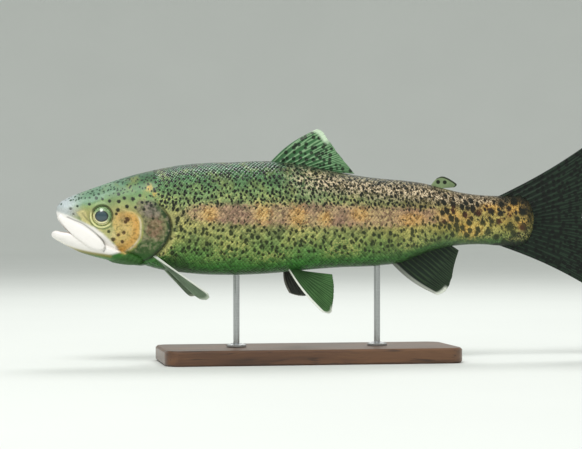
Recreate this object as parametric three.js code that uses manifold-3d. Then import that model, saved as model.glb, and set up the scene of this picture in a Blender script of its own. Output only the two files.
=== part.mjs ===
// Rainbow trout: a still, life-size model, 450 mm long, held by two rods on a flat display base.
// Millimetres, +Z up. The snout points to -X, the tail to +X, and the fish's left side faces -Y.
// The origin is on the floor, under the middle of the whole model.
//
// The body is lofted through named stations, then parted into its sub-parts by thin cuts.
// Each fin is a plate laid over a fan of rays.
import * as THREE from "three";
import { mergeVertices } from "three/addons/utils/BufferGeometryUtils.js";
import Module from "manifold-3d";

const wasm = await Module();
wasm.setup();

// ---------------------------------------------------------------- driving dimensions

const GAP = 0.35; // clearance between neighbouring pieces
const FAR = 400; // reaches past the whole fish, for cutting tools

// How finely each form is faceted: its rings from nose to tail, and the columns around it.
const FACETS = {
  body: [36, 24],
  jaw: [14, 18],
  mouth: [9, 14],
  eye: [10, 16],
  maxilla: [9, 3],
  gillEdge: 24,
  rod: 20,
};

// Stations of the body, upper jaw included: height of the back and belly lines, half width,
// height of the widest line, and how square the lower half is (2 is an ellipse).
const BODY = {
  stations: [
    { x: -221.2, back: 126.2, belly: 111.0, half: 8.2, wide: 119.6, keel: 3.2 }, // snout
    { x: -217.6, back: 127.2, belly: 110.6, half: 9.4, wide: 119.4, keel: 3.4 },
    { x: -214.2, back: 128.8, belly: 107.6, half: 10.4, wide: 119.0, keel: 3.4 },
    { x: -210.3, back: 130.8, belly: 103.8, half: 11.4, wide: 118.5, keel: 3.2 }, // nostrils
    { x: -202.5, back: 134.0, belly: 97.6, half: 13.1, wide: 117.7, keel: 3.0 },
    { x: -194.8, back: 136.8, belly: 92.8, half: 14.7, wide: 116.9, keel: 2.8 },
    { x: -187.0, back: 139.6, belly: 89.6, half: 16.1, wide: 116.2, keel: 2.7 }, // eyes
    { x: -171.4, back: 144.9, belly: 84.6, half: 18.7, wide: 114.8, keel: 2.5 },
    { x: -155.7, back: 149.4, belly: 78.2, half: 21.0, wide: 113.7, keel: 2.3 }, // gill covers
    { x: -139.9, back: 152.8, belly: 73.6, half: 22.9, wide: 113.2, keel: 2.3 },
    { x: -124.1, back: 155.7, belly: 71.3, half: 24.2, wide: 113.0, keel: 2.3 },
    { x: -108.3, back: 157.3, belly: 69.7, half: 25.0, wide: 113.0, keel: 2.3 },
    { x: -84.0, back: 158.2, belly: 69.0, half: 25.5, wide: 113.3, keel: 2.3 }, // deepest
    { x: -50.7, back: 159.2, belly: 70.2, half: 25.0, wide: 113.8, keel: 2.3 },
    { x: -24.0, back: 156.0, belly: 72.7, half: 23.6, wide: 114.0, keel: 2.3 },
    { x: 4.3, back: 150.4, belly: 74.6, half: 21.2, wide: 114.0, keel: 2.3 },
    { x: 37.1, back: 145.9, belly: 76.0, half: 17.6, wide: 113.8, keel: 2.3 },
    { x: 54.0, back: 144.6, belly: 78.4, half: 15.6, wide: 113.5, keel: 2.3 }, // anal fin
    { x: 72.0, back: 142.4, belly: 85.2, half: 13.4, wide: 113.4, keel: 2.2 },
    { x: 88.0, back: 138.6, belly: 89.8, half: 11.4, wide: 113.2, keel: 2.2 },
    { x: 104.0, back: 135.0, belly: 92.1, half: 9.7, wide: 113.1, keel: 2.2 },
    { x: 122.0, back: 132.8, belly: 92.7, half: 7.9, wide: 112.8, keel: 2.2 },
    { x: 136.0, back: 132.4, belly: 91.6, half: 6.5, wide: 112.6, keel: 2.2 }, // narrowest
    { x: 152.0, back: 132.8, belly: 91.0, half: 4.8, wide: 112.6, keel: 2.2 },
    { x: 166.8, back: 132.0, belly: 93.0, half: 3.8, wide: 112.8, keel: 2.2 }, // end of flesh
  ],
  frontCap: 5.5,
  rearCap: 13,
  crown: 2.1,
};

// The lower jaw, from chin to throat. Its tip stands 3.8 mm in front of the snout.
const JAW = {
  stations: [
    { x: -225.0, back: 104.8, belly: 97.4, half: 7.0, wide: 101.2, keel: 2.4 },
    { x: -221.5, back: 104.8, belly: 96.6, half: 8.4, wide: 101.0, keel: 2.4 },
    { x: -218.0, back: 104.4, belly: 95.0, half: 9.5, wide: 100.4, keel: 2.4 },
    { x: -210.3, back: 104.2, belly: 90.4, half: 11.2, wide: 98.6, keel: 2.4 },
    { x: -202.5, back: 101.6, belly: 86.9, half: 12.6, wide: 96.0, keel: 2.4 },
    { x: -194.8, back: 98.6, belly: 84.4, half: 13.8, wide: 93.6, keel: 2.4 },
    { x: -179.2, back: 92.0, belly: 80.5, half: 15.2, wide: 88.6, keel: 2.4 },
    { x: -163.5, back: 86.5, belly: 77.3, half: 14.6, wide: 83.6, keel: 2.4 },
    { x: -149.0, back: 82.0, belly: 75.2, half: 10.5, wide: 79.0, keel: 2.4 },
  ],
  frontCap: 5.5,
  rearCap: 8,
  crown: 2.8,
};

// The hollow of the mouth, which leaves lips and jaw walls about 2 mm thick.
const MOUTH = {
  stations: [
    { x: -221.5, back: 110.6, belly: 102.0, half: 5.0, wide: 106.5, keel: 2.2 },
    { x: -214.0, back: 112.0, belly: 98.0, half: 7.8, wide: 105.0, keel: 2.4 },
    { x: -205.0, back: 109.5, belly: 93.5, half: 9.4, wide: 101.5, keel: 2.4 },
    { x: -195.0, back: 105.5, belly: 90.0, half: 10.4, wide: 98.0, keel: 2.4 },
    { x: -181.0, back: 99.0, belly: 87.0, half: 9.5, wide: 93.5, keel: 2.2 },
  ],
  frontCap: 4,
  rearCap: 9,
  crown: 2.2,
};

// A fish's eye is a globe a little flattened. It turns a little forward, and its dome stands
// out of a socket as wide as itself.
const EYE = { x: -185.9, z: 115.6, depth: 11.6, radius: 8.2, halfDepth: 6.2, turn: 0.16 };

// The maxilla: the bony plate along each side of the mouth, from the snout to behind the eye.
const MAXILLA = {
  front: { x: -219.6, z: 116.2 },
  rear: { x: -184.6, z: 90.4 },
  halfWidths: [1.9, 3.7, 4.9, 5.3, 5.3, 4.8, 2.4],
  outerHalf: [8.8, 10.8, 12.5, 14.0, 15.2, 16.2, 16.9], // its face, from the midplane
  thickness: 2,
  sag: 1.2, // its lower edge bends towards the lower jaw
};

// The gill cover's outline on the side of the head, and how far it stands off the head.
const GILL_COVER = {
  outline: [
    [-164.0, 121.5], [-158.6, 117.5], [-156.2, 111.0], [-156.1, 104.0], [-158.0, 97.0],
    [-163.0, 90.4], [-170.0, 85.6], [-158.0, 80.5], [-146.0, 78.0], [-134.0, 84.0],
    [-128.0, 104.0], [-131.0, 122.0], [-145.0, 126.0],
  ],
  proud: 0.9,
  deep: 2,
  inner: 5, // the outline cuts from here outwards, measured from the midplane
  clear: 5, // its pocket in the head is open this far out, past the cover's face
};

// The cut between head and trunk follows the gill cover's free edge.
const GILL_EDGE = [
  [-150.0, 175.0], [-148.5, 150.0], [-146.0, 128.0], [-139.5, 119.8], [-134.9, 112.4],
  [-134.0, 105.5], [-135.3, 99.5], [-139.0, 92.4], [-145.5, 85.2], [-153.0, 79.0],
  [-160.0, 65.0],
];
const STALK_CUT_X = 108; // trunk in front, tail stalk behind

// Each fin: where its base runs, and its rays from the leading one to the last. A ray is the
// vector from base to tip, and bow is how far its middle stands off that straight line.
const ROOT = 4; // length of the rays hidden in the flesh
const TAPER = 0.7; // below 1, so a fin thins soonest next to its root
const PAIRED_THICKNESS = [2.2, 0.7];
const FINS = {
  dorsal_fin: {
    base: [[-50.7, 0, 158.9], [4.5, 0, 150.2]],
    rays: [
      { at: 0, to: [36.5, 0, 26.2], bow: 3 },
      { at: 0.1, to: [35.2, 0, 25.7], bow: 2 },
      { at: 0.22, to: [33.8, 0, 19.6], bow: 0.6 },
      { at: 0.5, to: [27.3, 0, 9.9], bow: 0 },
      { at: 0.75, to: [19.9, 0, 4.3], bow: 0 },
      { at: 1, to: [11.8, 0, -0.7], bow: 0 },
    ],
    thickness: [2.6, 0.7],
    grid: [12, 5],
  },
  adipose_fin: {
    base: [[80.2, 0, 141.2], [91.0, 0, 138.4]],
    rays: [
      { at: 0, to: [3.9, 0, 5.2], bow: 0.5 },
      { at: 0.3, to: [5.7, 0, 7.4], bow: 0 },
      { at: 0.6, to: [9.0, 0, 5.6], bow: 0 },
      { at: 0.85, to: [11.5, 0, 2.2], bow: 0 },
      { at: 1, to: [8.0, 0, 0.6], bow: 0 },
    ],
    thickness: [2.4, 1.0],
    grid: [7, 4],
  },
  anal_fin: {
    base: [[47.8, 0, 77.6], [97.0, 0, 91.6]],
    rays: [
      { at: 0, to: [37.4, 0, -25.8], bow: -3 },
      { at: 0.12, to: [35.6, 0, -26.0], bow: -2 },
      { at: 0.3, to: [31.0, 0, -24.6], bow: 0 },
      { at: 0.5, to: [24.2, 0, -20.0], bow: 0 },
      { at: 0.75, to: [14.3, 0, -11.8], bow: 0 },
      { at: 1, to: [5.6, 0, -3.6], bow: 0 },
    ],
    thickness: [2.4, 0.7],
    grid: [10, 5],
  },
  caudal_fin: {
    base: [[133.6, 0, 131.2], [133.6, 0, 92.6]],
    bulge: [31, 0, 0], // the root follows the rounded end of the flesh
    rays: [
      { at: 0, to: [90.0, 0, 50.4], bow: -2.6 },
      { at: 0.05, to: [86.5, 0, 49.6], bow: -2.2 },
      { at: 0.12, to: [79.6, 0, 42.6], bow: -1.6 },
      { at: 0.28, to: [61.2, 0, 20.2], bow: -0.6 },
      { at: 0.5, to: [45.0, 0, 2.6], bow: 0 },
      { at: 0.72, to: [61.2, 0, -17.4], bow: 0.8 },
      { at: 0.88, to: [79.6, 0, -33.6], bow: 1.8 },
      { at: 0.95, to: [86.5, 0, -38.6], bow: 2.6 },
      { at: 1, to: [90.0, 0, -39.6], bow: 3 },
    ],
    thickness: [3.0, 0.8],
    grid: [18, 5],
  },
  pelvic_fin_left: {
    base: [[-38.4, -8.5, 73.6], [-30.0, -5.2, 72.4]],
    rays: [
      { at: 0, to: [24.4, -13.5, -33.8], bow: -2.2 },
      { at: 0.18, to: [29.2, -12.5, -34.6], bow: -1 },
      { at: 0.45, to: [30.4, -9.0, -26.0], bow: 0 },
      { at: 0.72, to: [29.6, -6.0, -13.5], bow: 0 },
      { at: 1, to: [26.6, -3.2, -3.0], bow: 0 },
    ],
    thickness: PAIRED_THICKNESS,
    grid: [8, 5],
  },
  pelvic_fin_right: {
    base: [[-39.6, 8.5, 73.6], [-31.0, 5.2, 72.4]],
    rays: [
      { at: 0, to: [9.6, 30.0, -20.6], bow: -2.2 },
      { at: 0.18, to: [14.6, 31.5, -22.6], bow: -1 },
      { at: 0.45, to: [20.4, 26.0, -21.6], bow: 0 },
      { at: 0.72, to: [24.6, 16.0, -14.0], bow: 0 },
      { at: 1, to: [26.0, 6.0, -5.4], bow: 0 },
    ],
    thickness: PAIRED_THICKNESS,
    grid: [8, 5],
  },
  pectoral_fin: {
    base: [[-145.8, -15.6, 84.4], [-139.8, -11.6, 79.4]],
    rays: [
      { at: 0, to: [38.4, -29.6, -28.2], bow: 0 },
      { at: 0.14, to: [38.8, -28.4, -31.2], bow: 0 },
      { at: 0.4, to: [32.2, -20.5, -31.6], bow: 0 },
      { at: 0.7, to: [23.0, -12.0, -24.2], bow: 0 },
      { at: 1, to: [14.6, -5.2, -14.8], bow: 0 },
    ],
    thickness: PAIRED_THICKNESS,
    grid: [8, 5],
  },
};

const BEND = { from: 40, to: 225, sway: 9 }; // the tail sways a little towards +Y

const STAND = {
  length: 236,
  width: 88,
  height: 12,
  corner: 12,
  bevel: 1.5,
  centre: -22,
  rodRadius: 2.5,
  footRadius: 8,
  footHeight: 3,
  overlap: 3, // a rod is made this much too long, then trimmed to the belly
  rods: { front: -79.3, rear: 34.6 },
};

// ---------------------------------------------------------------- materials

const finish = (color, roughness, metalness = 0) =>
  new THREE.MeshStandardMaterial({ color, roughness, metalness });
const MATERIALS = {
  back: finish(0x7d8a4c, 0.35, 0.2),
  head: finish(0x9a9c62, 0.35, 0.1),
  jaw: finish(0xe8e4dc, 0.3),
  gillCover: finish(0xa08468, 0.3, 0.3),
  fin: finish(0x55604a, 0.4),
  eye: finish(0x2b352c, 0.08),
  wood: finish(0x5a3d26, 0.5),
  steel: finish(0xb9bcbe, 0.3, 1),
};

// ---------------------------------------------------------------- curves through stations

// A smooth cubic through points given as parallel lists of places and values.
function smoothThrough(places, values, at) {
  const last = places.length - 1;
  const x = Math.min(Math.max(at, places[0]), places[last]);
  let k = 0;
  while (k < last - 1 && x > places[k + 1]) k += 1;
  const slope = (i) => (values[i + 1] - values[i]) / (places[i + 1] - places[i]);
  const tangent = (i) => {
    if (i === 0) return slope(0);
    if (i === last) return slope(last - 1);
    const before = places[i] - places[i - 1];
    const after = places[i + 1] - places[i];
    return (slope(i - 1) * after + slope(i) * before) / (before + after);
  };
  const span = places[k + 1] - places[k];
  const t = (x - places[k]) / span;
  const rise = tangent(k) * span;
  const fall = tangent(k + 1) * span;
  const a = values[k];
  const b = values[k + 1];
  return (
    a * (2 * t ** 3 - 3 * t ** 2 + 1) +
    rise * (t ** 3 - 2 * t ** 2 + t) +
    b * (3 * t ** 2 - 2 * t ** 3) +
    fall * (t ** 3 - t ** 2)
  );
}

function station(form, key, x) {
  const places = form.stations.map((s) => s.x);
  const values = form.stations.map((s) => s[key]);
  return smoothThrough(places, values, x);
}

// 0 at each end of the form and 1 past its caps, along a quarter ellipse.
function endRound(form, x, grow) {
  const first = form.stations[0].x - grow;
  const last = form.stations[form.stations.length - 1].x + grow;
  const front = Math.min((x - first) / form.frontCap, 1);
  const rear = Math.min((last - x) / form.rearCap, 1);
  const quarter = (s) => Math.sqrt(Math.max(0, 1 - (1 - s) ** 2));
  return quarter(front) * quarter(rear);
}

// ---------------------------------------------------------------- shaping primitives

// Moves every vertex of a closed primitive, and leaves position as its only attribute.
function reshaped(geometry, move) {
  geometry.deleteAttribute("normal");
  geometry.deleteAttribute("uv");
  const merged = mergeVertices(geometry, 1e-4);
  const position = merged.getAttribute("position");
  const p = new THREE.Vector3();
  for (let i = 0; i < position.count; i += 1) {
    const q = move(p.fromBufferAttribute(position, i).clone());
    position.setXYZ(i, q.x, q.y, q.z);
  }
  return merged;
}

// A sphere drawn out along X until its rings fit a form's sections, grown by a margin.
function loft(form, [rings, columns], grow = 0) {
  const first = form.stations[0].x - grow;
  const last = form.stations[form.stations.length - 1].x + grow;
  return reshaped(new THREE.SphereGeometry(1, columns, rings), (p) => {
    const x = first + ((last - first) * (1 - p.y)) / 2;
    const around = Math.atan2(p.z, p.x);
    const cap = endRound(form, x, grow);
    const wide = station(form, "wide", x);
    const up = Math.sin(around) >= 0;
    const reach = up ? station(form, "back", x) - wide : wide - station(form, "belly", x);
    const power = 2 / (up ? form.crown : station(form, "keel", x));
    const bulge = (s) => Math.sign(s) * Math.abs(s) ** power;
    return new THREE.Vector3(
      x,
      (station(form, "half", x) + grow) * cap * bulge(Math.cos(around)),
      wide + (reach + grow) * cap * bulge(Math.sin(around)),
    );
  });
}

// A box flattened over the surface point(u, v), as thick there as thickness(u, v).
function plate(point, thickness, [across, along]) {
  const step = 0.01; // the share of the plate over which its slope is taken
  return reshaped(new THREE.BoxGeometry(1, 1, 1, across, 1, along), (p) => {
    const u = p.x + 0.5;
    const v = p.z + 0.5;
    const byU = point(u + step, v).sub(point(u - step, v));
    const byV = point(u, v + step).sub(point(u, v - step));
    const normal = byV.cross(byU).normalize();
    return point(u, v).addScaledVector(normal, p.y * thickness(u, v));
  });
}

// ---------------------------------------------------------------- solids

function solidOf(geometry) {
  const triVerts = new Uint32Array(geometry.index.array);
  const vertProperties = new Float32Array(geometry.getAttribute("position").array);
  return new wasm.Manifold(new wasm.Mesh({ numProp: 3, vertProperties, triVerts }));
}

function primitiveSolid(geometry) {
  return solidOf(reshaped(geometry, (p) => p));
}

// Keeps the main body where a cut leaves crumbs beside it.
function largest(solid) {
  return solid.decompose().sort((a, b) => b.volume() - a.volume())[0];
}

function geometryOf(solid) {
  const mesh = solid.getMesh();
  const geometry = new THREE.BufferGeometry();
  geometry.setAttribute("position", new THREE.BufferAttribute(mesh.vertProperties, 3));
  geometry.setIndex(new THREE.BufferAttribute(mesh.triVerts, 1));
  return geometry;
}

// The swimming curve: a sideways shift that grows behind the dorsal fin.
function bent(geometry) {
  const position = geometry.getAttribute("position");
  for (let i = 0; i < position.count; i += 1) {
    const share = Math.max(0, (position.getX(i) - BEND.from) / (BEND.to - BEND.from));
    position.setY(i, position.getY(i) + BEND.sway * share ** 2);
  }
  return geometry;
}

function mirrored(solid) {
  return solid.mirror([0, 1, 0]);
}

// A prism across the fish, between two distances from the midplane, over an outline in X and Z.
function prism(points, from, to, closedCurve) {
  const corners = points.map(([x, z]) => new THREE.Vector2(x, z));
  const curve = new THREE.SplineCurve(closedCurve ? [...corners, corners[0]] : corners);
  const outline = closedCurve ? curve.getPoints(points.length * 3).slice(0, -1) : corners;
  const shape = new THREE.Shape(outline);
  const block = new THREE.ExtrudeGeometry(shape, { depth: to - from, bevelEnabled: false });
  block.rotateX(Math.PI / 2); // the outline's Y becomes Z, and the depth runs towards -Y
  block.translate(0, -from, 0);
  return primitiveSolid(block);
}

// ---------------------------------------------------------------- tools that cut the body

function trunkRegion() {
  const edge = GILL_EDGE.map(([x, z]) => new THREE.Vector2(x, z));
  const smooth = new THREE.SplineCurve(edge).getPoints(FACETS.gillEdge);
  const outline = smooth.map((p) => [p.x, p.y]);
  outline.push([FAR, 0], [FAR, FAR], [GILL_EDGE[0][0], FAR]);
  return prism(outline, -FAR, FAR, false);
}

function stalkRegion(x) {
  return prism([[x, 0], [FAR, 0], [FAR, FAR], [x, FAR]], -FAR, FAR, false);
}

function bodySolid(grow = 0) {
  return solidOf(loft(BODY, FACETS.body, grow));
}

function gillCoverShell(proud, deep) {
  return bodySolid(proud).subtract(bodySolid(-deep));
}

function maxillaPlate(grow) {
  const count = MAXILLA.halfWidths.length - 1;
  const marks = MAXILLA.halfWidths.map((_, i) => i / count);
  const along = new THREE.Vector2(
    MAXILLA.rear.x - MAXILLA.front.x,
    MAXILLA.rear.z - MAXILLA.front.z,
  );
  const length = along.length();
  const [dx, dz] = [along.x / length, along.y / length];
  const point = (u, v) => {
    const travel = u * (length + 2 * grow) - grow;
    const half = smoothThrough(marks, MAXILLA.halfWidths, u) + grow;
    const side = (0.5 - v) * 2 * half;
    const bow = MAXILLA.sag * Math.sin(Math.PI * u);
    return new THREE.Vector3(
      MAXILLA.front.x + dx * travel - dz * side,
      -smoothThrough(marks, MAXILLA.outerHalf, u) + MAXILLA.thickness / 2,
      MAXILLA.front.z + dz * travel + dx * side - bow,
    );
  };
  const thickness = () => MAXILLA.thickness + 2 * grow;
  return solidOf(plate(point, thickness, FACETS.maxilla));
}

function placedInSocket(geometry) {
  geometry.rotateZ(-EYE.turn);
  geometry.translate(EYE.x, -EYE.depth, EYE.z);
  return primitiveSolid(geometry);
}

function eyeball(grow) {
  const [rings, columns] = FACETS.eye;
  const ball = new THREE.SphereGeometry(1, columns, rings);
  ball.rotateX(Math.PI / 2);
  ball.scale(EYE.radius + grow, EYE.halfDepth + grow, EYE.radius + grow);
  return placedInSocket(ball);
}

function eyeSocket() {
  const reach = 12; // from the middle of the eye to clear of the head
  const radius = EYE.radius + GAP;
  const bore = new THREE.CylinderGeometry(radius, radius, reach, FACETS.eye[1]);
  bore.translate(0, -reach / 2, 0);
  return eyeball(GAP).add(placedInSocket(bore));
}

// ---------------------------------------------------------------- fins

function finPlate({ base, bulge = [0, 0, 0], rays, thickness, grid }) {
  const marks = rays.map((r) => r.at);
  const [start, end] = base.map((b) => new THREE.Vector3(...b));
  const point = (u, v) => {
    const ray = new THREE.Vector3(
      ...[0, 1, 2].map((axis) => smoothThrough(marks, rays.map((r) => r.to[axis]), u)),
    );
    const bow = smoothThrough(marks, rays.map((r) => r.bow), u) * Math.sin(Math.PI * v);
    const travel = v - (1 - v) * (ROOT / ray.length());
    return start
      .clone()
      .lerp(end, u)
      .addScaledVector(new THREE.Vector3(...bulge), Math.sin(Math.PI * u))
      .addScaledVector(ray, travel)
      .addScaledVector(new THREE.Vector3(-ray.z, 0, ray.x).normalize(), bow);
  };
  const [root, edge] = thickness;
  const depth = (u, v) => root + (edge - root) * v ** TAPER;
  return solidOf(plate(point, depth, grid));
}

function finSolid(name) {
  return largest(finPlate(FINS[name]).subtract(bodySolid(GAP)));
}

// ---------------------------------------------------------------- stand

function standBase() {
  const { length, width, corner, bevel, height, centre } = STAND;
  const [x, y, r] = [length / 2 - bevel, width / 2 - bevel, corner - bevel];
  const outline = new THREE.Shape();
  outline.moveTo(-x + r, -y);
  outline.absarc(x - r, -y + r, r, -Math.PI / 2, 0);
  outline.absarc(x - r, y - r, r, 0, Math.PI / 2);
  outline.absarc(-x + r, y - r, r, Math.PI / 2, Math.PI);
  outline.absarc(-x + r, -y + r, r, Math.PI, 1.5 * Math.PI);
  const slab = new THREE.ExtrudeGeometry(outline, {
    depth: height - 2 * bevel,
    bevelThickness: bevel,
    bevelSize: bevel,
    bevelSegments: 1,
    curveSegments: 5,
  });
  slab.translate(centre, 0, bevel);
  return primitiveSolid(slab);
}

function standRod(x) {
  const { rodRadius, footRadius, footHeight, height, overlap } = STAND;
  const top = station(BODY, "belly", x) + overlap;
  const foot = height + GAP;
  const profile = [
    [0, foot],
    [footRadius, foot],
    [footRadius, foot + footHeight / 2],
    [rodRadius, foot + footHeight],
    [rodRadius, top],
    [0, top],
  ].map(([r, z]) => new THREE.Vector2(r, z));
  const rod = new THREE.LatheGeometry(profile, FACETS.rod);
  rod.rotateX(Math.PI / 2); // the lathe's Y axis becomes Z
  rod.translate(x, 0, 0);
  return largest(primitiveSolid(rod).subtract(bodySolid(GAP)));
}

// ---------------------------------------------------------------- parting the fish

function both(solid) {
  return solid.add(mirrored(solid));
}

function fishPieces() {
  const whole = bodySolid();
  const jaw = solidOf(loft(JAW, FACETS.jaw));
  const jawRoom = solidOf(loft(JAW, FACETS.jaw, GAP));
  const mouth = solidOf(loft(MOUTH, FACETS.mouth));
  const trunkSide = trunkRegion();
  const trunkRoom = trunkSide.translate([-GAP, 0, 0]);
  const { outline, proud, deep, inner, clear } = GILL_COVER;
  const coverOutline = prism(outline, inner, FAR, true);
  const coverRoom = coverOutline
    .add(coverOutline.translate([-GAP, 0, 0]))
    .add(coverOutline.translate([0, 0, GAP]))
    .add(coverOutline.translate([0, 0, -GAP]));
  const cover = gillCoverShell(proud, deep).intersect(coverOutline);
  const coverPocket = gillCoverShell(clear, deep + GAP).intersect(coverRoom);
  const maxilla = maxillaPlate(0);
  const pockets = both(coverPocket).add(both(maxillaPlate(GAP))).add(both(eyeSocket()));
  const head = whole.subtract(trunkRoom).subtract(jawRoom).subtract(mouth).subtract(pockets);
  const rear = whole.intersect(trunkSide);
  const left = {
    gill_cover: cover.subtract(trunkRoom).subtract(jawRoom),
    maxilla,
    eye: eyeball(0),
    pectoral_fin: finSolid("pectoral_fin").subtract(coverPocket.subtract(trunkSide)),
  };
  const pieces = {
    head,
    lower_jaw: jaw.subtract(mouth).subtract(both(maxillaPlate(GAP))).subtract(trunkRoom),
    trunk: rear.subtract(stalkRegion(STALK_CUT_X - GAP)),
    tail_stalk: rear.intersect(stalkRegion(STALK_CUT_X)),
    dorsal_fin: finSolid("dorsal_fin"),
    adipose_fin: finSolid("adipose_fin"),
    anal_fin: finSolid("anal_fin"),
    caudal_fin: finSolid("caudal_fin"),
    pelvic_fin_left: finSolid("pelvic_fin_left"),
    pelvic_fin_right: finSolid("pelvic_fin_right"),
  };
  for (const [name, solid] of Object.entries(left)) {
    pieces[`${name}_left`] = solid;
    pieces[`${name}_right`] = mirrored(solid);
  }
  return pieces;
}

const MATERIAL_OF = [
  [/^head/, "head"],
  [/^(lower_jaw|maxilla)/, "jaw"],
  [/^gill_cover/, "gillCover"],
  [/^eye/, "eye"],
  [/_fin/, "fin"],
  [/^(trunk|tail_stalk)/, "back"],
];

// ---------------------------------------------------------------- the model

function meshOf(name, geometry, material) {
  const mesh = new THREE.Mesh(geometry, MATERIALS[material]);
  mesh.name = name;
  return mesh;
}

const trout = new THREE.Group();
for (const [name, solid] of Object.entries(fishPieces())) {
  const material = MATERIAL_OF.find(([pattern]) => pattern.test(name))[1];
  trout.add(meshOf(name, bent(geometryOf(largest(solid))), material));
}
trout.add(meshOf("stand_base", geometryOf(standBase()), "wood"));
for (const [place, x] of Object.entries(STAND.rods)) {
  trout.add(meshOf(`stand_rod_${place}`, geometryOf(standRod(x)), "steel"));
}

export default trout;
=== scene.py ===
# %% [markdown]
# # A rainbow trout, life size, on a display stand
#
# The CAD model gives the fish's true outline in plain solids. Here it gets the looks of a real
# trout: one skin from snout to tail, thousands of scales over it, deep glossy eyes, and fins
# whose rays branch as they do in life. The CAD solids are the frame. Nothing in it is moved.

# %% Load the CAD model as a fixed frame
import math

import bpy
import numpy as np
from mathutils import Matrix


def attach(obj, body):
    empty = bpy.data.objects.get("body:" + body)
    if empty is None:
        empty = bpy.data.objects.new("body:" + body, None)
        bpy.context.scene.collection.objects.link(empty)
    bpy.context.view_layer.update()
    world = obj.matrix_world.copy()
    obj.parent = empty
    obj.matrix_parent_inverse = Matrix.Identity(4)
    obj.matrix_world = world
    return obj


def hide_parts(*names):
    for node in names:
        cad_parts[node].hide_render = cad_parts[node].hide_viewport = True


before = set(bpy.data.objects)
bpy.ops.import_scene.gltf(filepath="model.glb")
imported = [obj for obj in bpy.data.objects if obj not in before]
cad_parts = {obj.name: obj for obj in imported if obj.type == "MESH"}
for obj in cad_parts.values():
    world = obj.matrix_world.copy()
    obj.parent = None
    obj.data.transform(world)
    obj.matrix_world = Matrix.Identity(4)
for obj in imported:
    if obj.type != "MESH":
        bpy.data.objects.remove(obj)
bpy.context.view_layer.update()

# %% [markdown]
# ## Units and small helpers
#
# A fish is measured in millimetres, and Blender's scene is in metres. So every size below is in
# millimetres, and points are turned to metres in one place, when they go into a mesh.

# %% Helpers for units, meshes and smooth steps
MM = 0.001


def deselect():
    bpy.ops.object.select_all(action="DESELECT")


def activate(piece):
    deselect()
    piece.select_set(True)
    bpy.context.view_layer.objects.active = piece


def points_of(piece):
    """A piece's vertices in millimetres, one row each."""
    flat = np.empty(len(piece.data.vertices) * 3)
    piece.data.vertices.foreach_get("co", flat)
    return flat.reshape(-1, 3) / MM


def place_points(piece, points):
    piece.data.vertices.foreach_set("co", (points * MM).ravel())
    piece.data.update()


def normals_of(piece):
    flat = np.empty(len(piece.data.vertices) * 3, dtype=np.float32)
    piece.data.vertex_normals.foreach_get("vector", flat)
    return flat.reshape(-1, 3)


def smoothstep(low, high, value):
    """0 below low, 1 above high, and an easy slope between. It falls if low is above high."""
    t = np.clip((value - low) / (high - low), 0, 1)
    return t * t * (3 - 2 * t)


def ridge(value, width):
    """1 where value is 0, fading to nothing about two widths away."""
    return np.exp(-((value / width) ** 2))


# %% [markdown]
# ## Camera
#
# The camera is level with the middle of the fish and 1.5 m away, turned 10 degrees towards the
# head, as a diver would see a trout that is just swimming past. A long lens keeps it natural.

# %% Camera
CAMERA = {"distance": 1500, "turn": math.radians(10), "aim": (-35.42, 0, 108.94), "lens": 116.65}

sight = np.array([math.sin(CAMERA["turn"]), math.cos(CAMERA["turn"]), 0])
camera_data = bpy.data.cameras.new("camera")
camera_data.lens = CAMERA["lens"]
camera_data.sensor_width = 36
camera_data.clip_start = 0.05
camera_data.clip_end = 50
camera = bpy.data.objects.new("camera", camera_data)
camera.location = (np.array(CAMERA["aim"]) - CAMERA["distance"] * sight) * MM
camera.rotation_euler = (math.pi / 2, 0, -CAMERA["turn"])
bpy.context.collection.objects.link(camera)
bpy.context.scene.camera = camera
print("camera at", tuple(round(c, 3) for c in camera.location))

# %% [markdown]
# ## The body's form
#
# The body is drawn through the same stations as the CAD model: at each place along the fish, the
# height of its back and belly, its half width, the height of its widest line, and how square its
# lower half is. A smooth cubic runs through them, so any point on the fish can be worked out.

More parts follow.
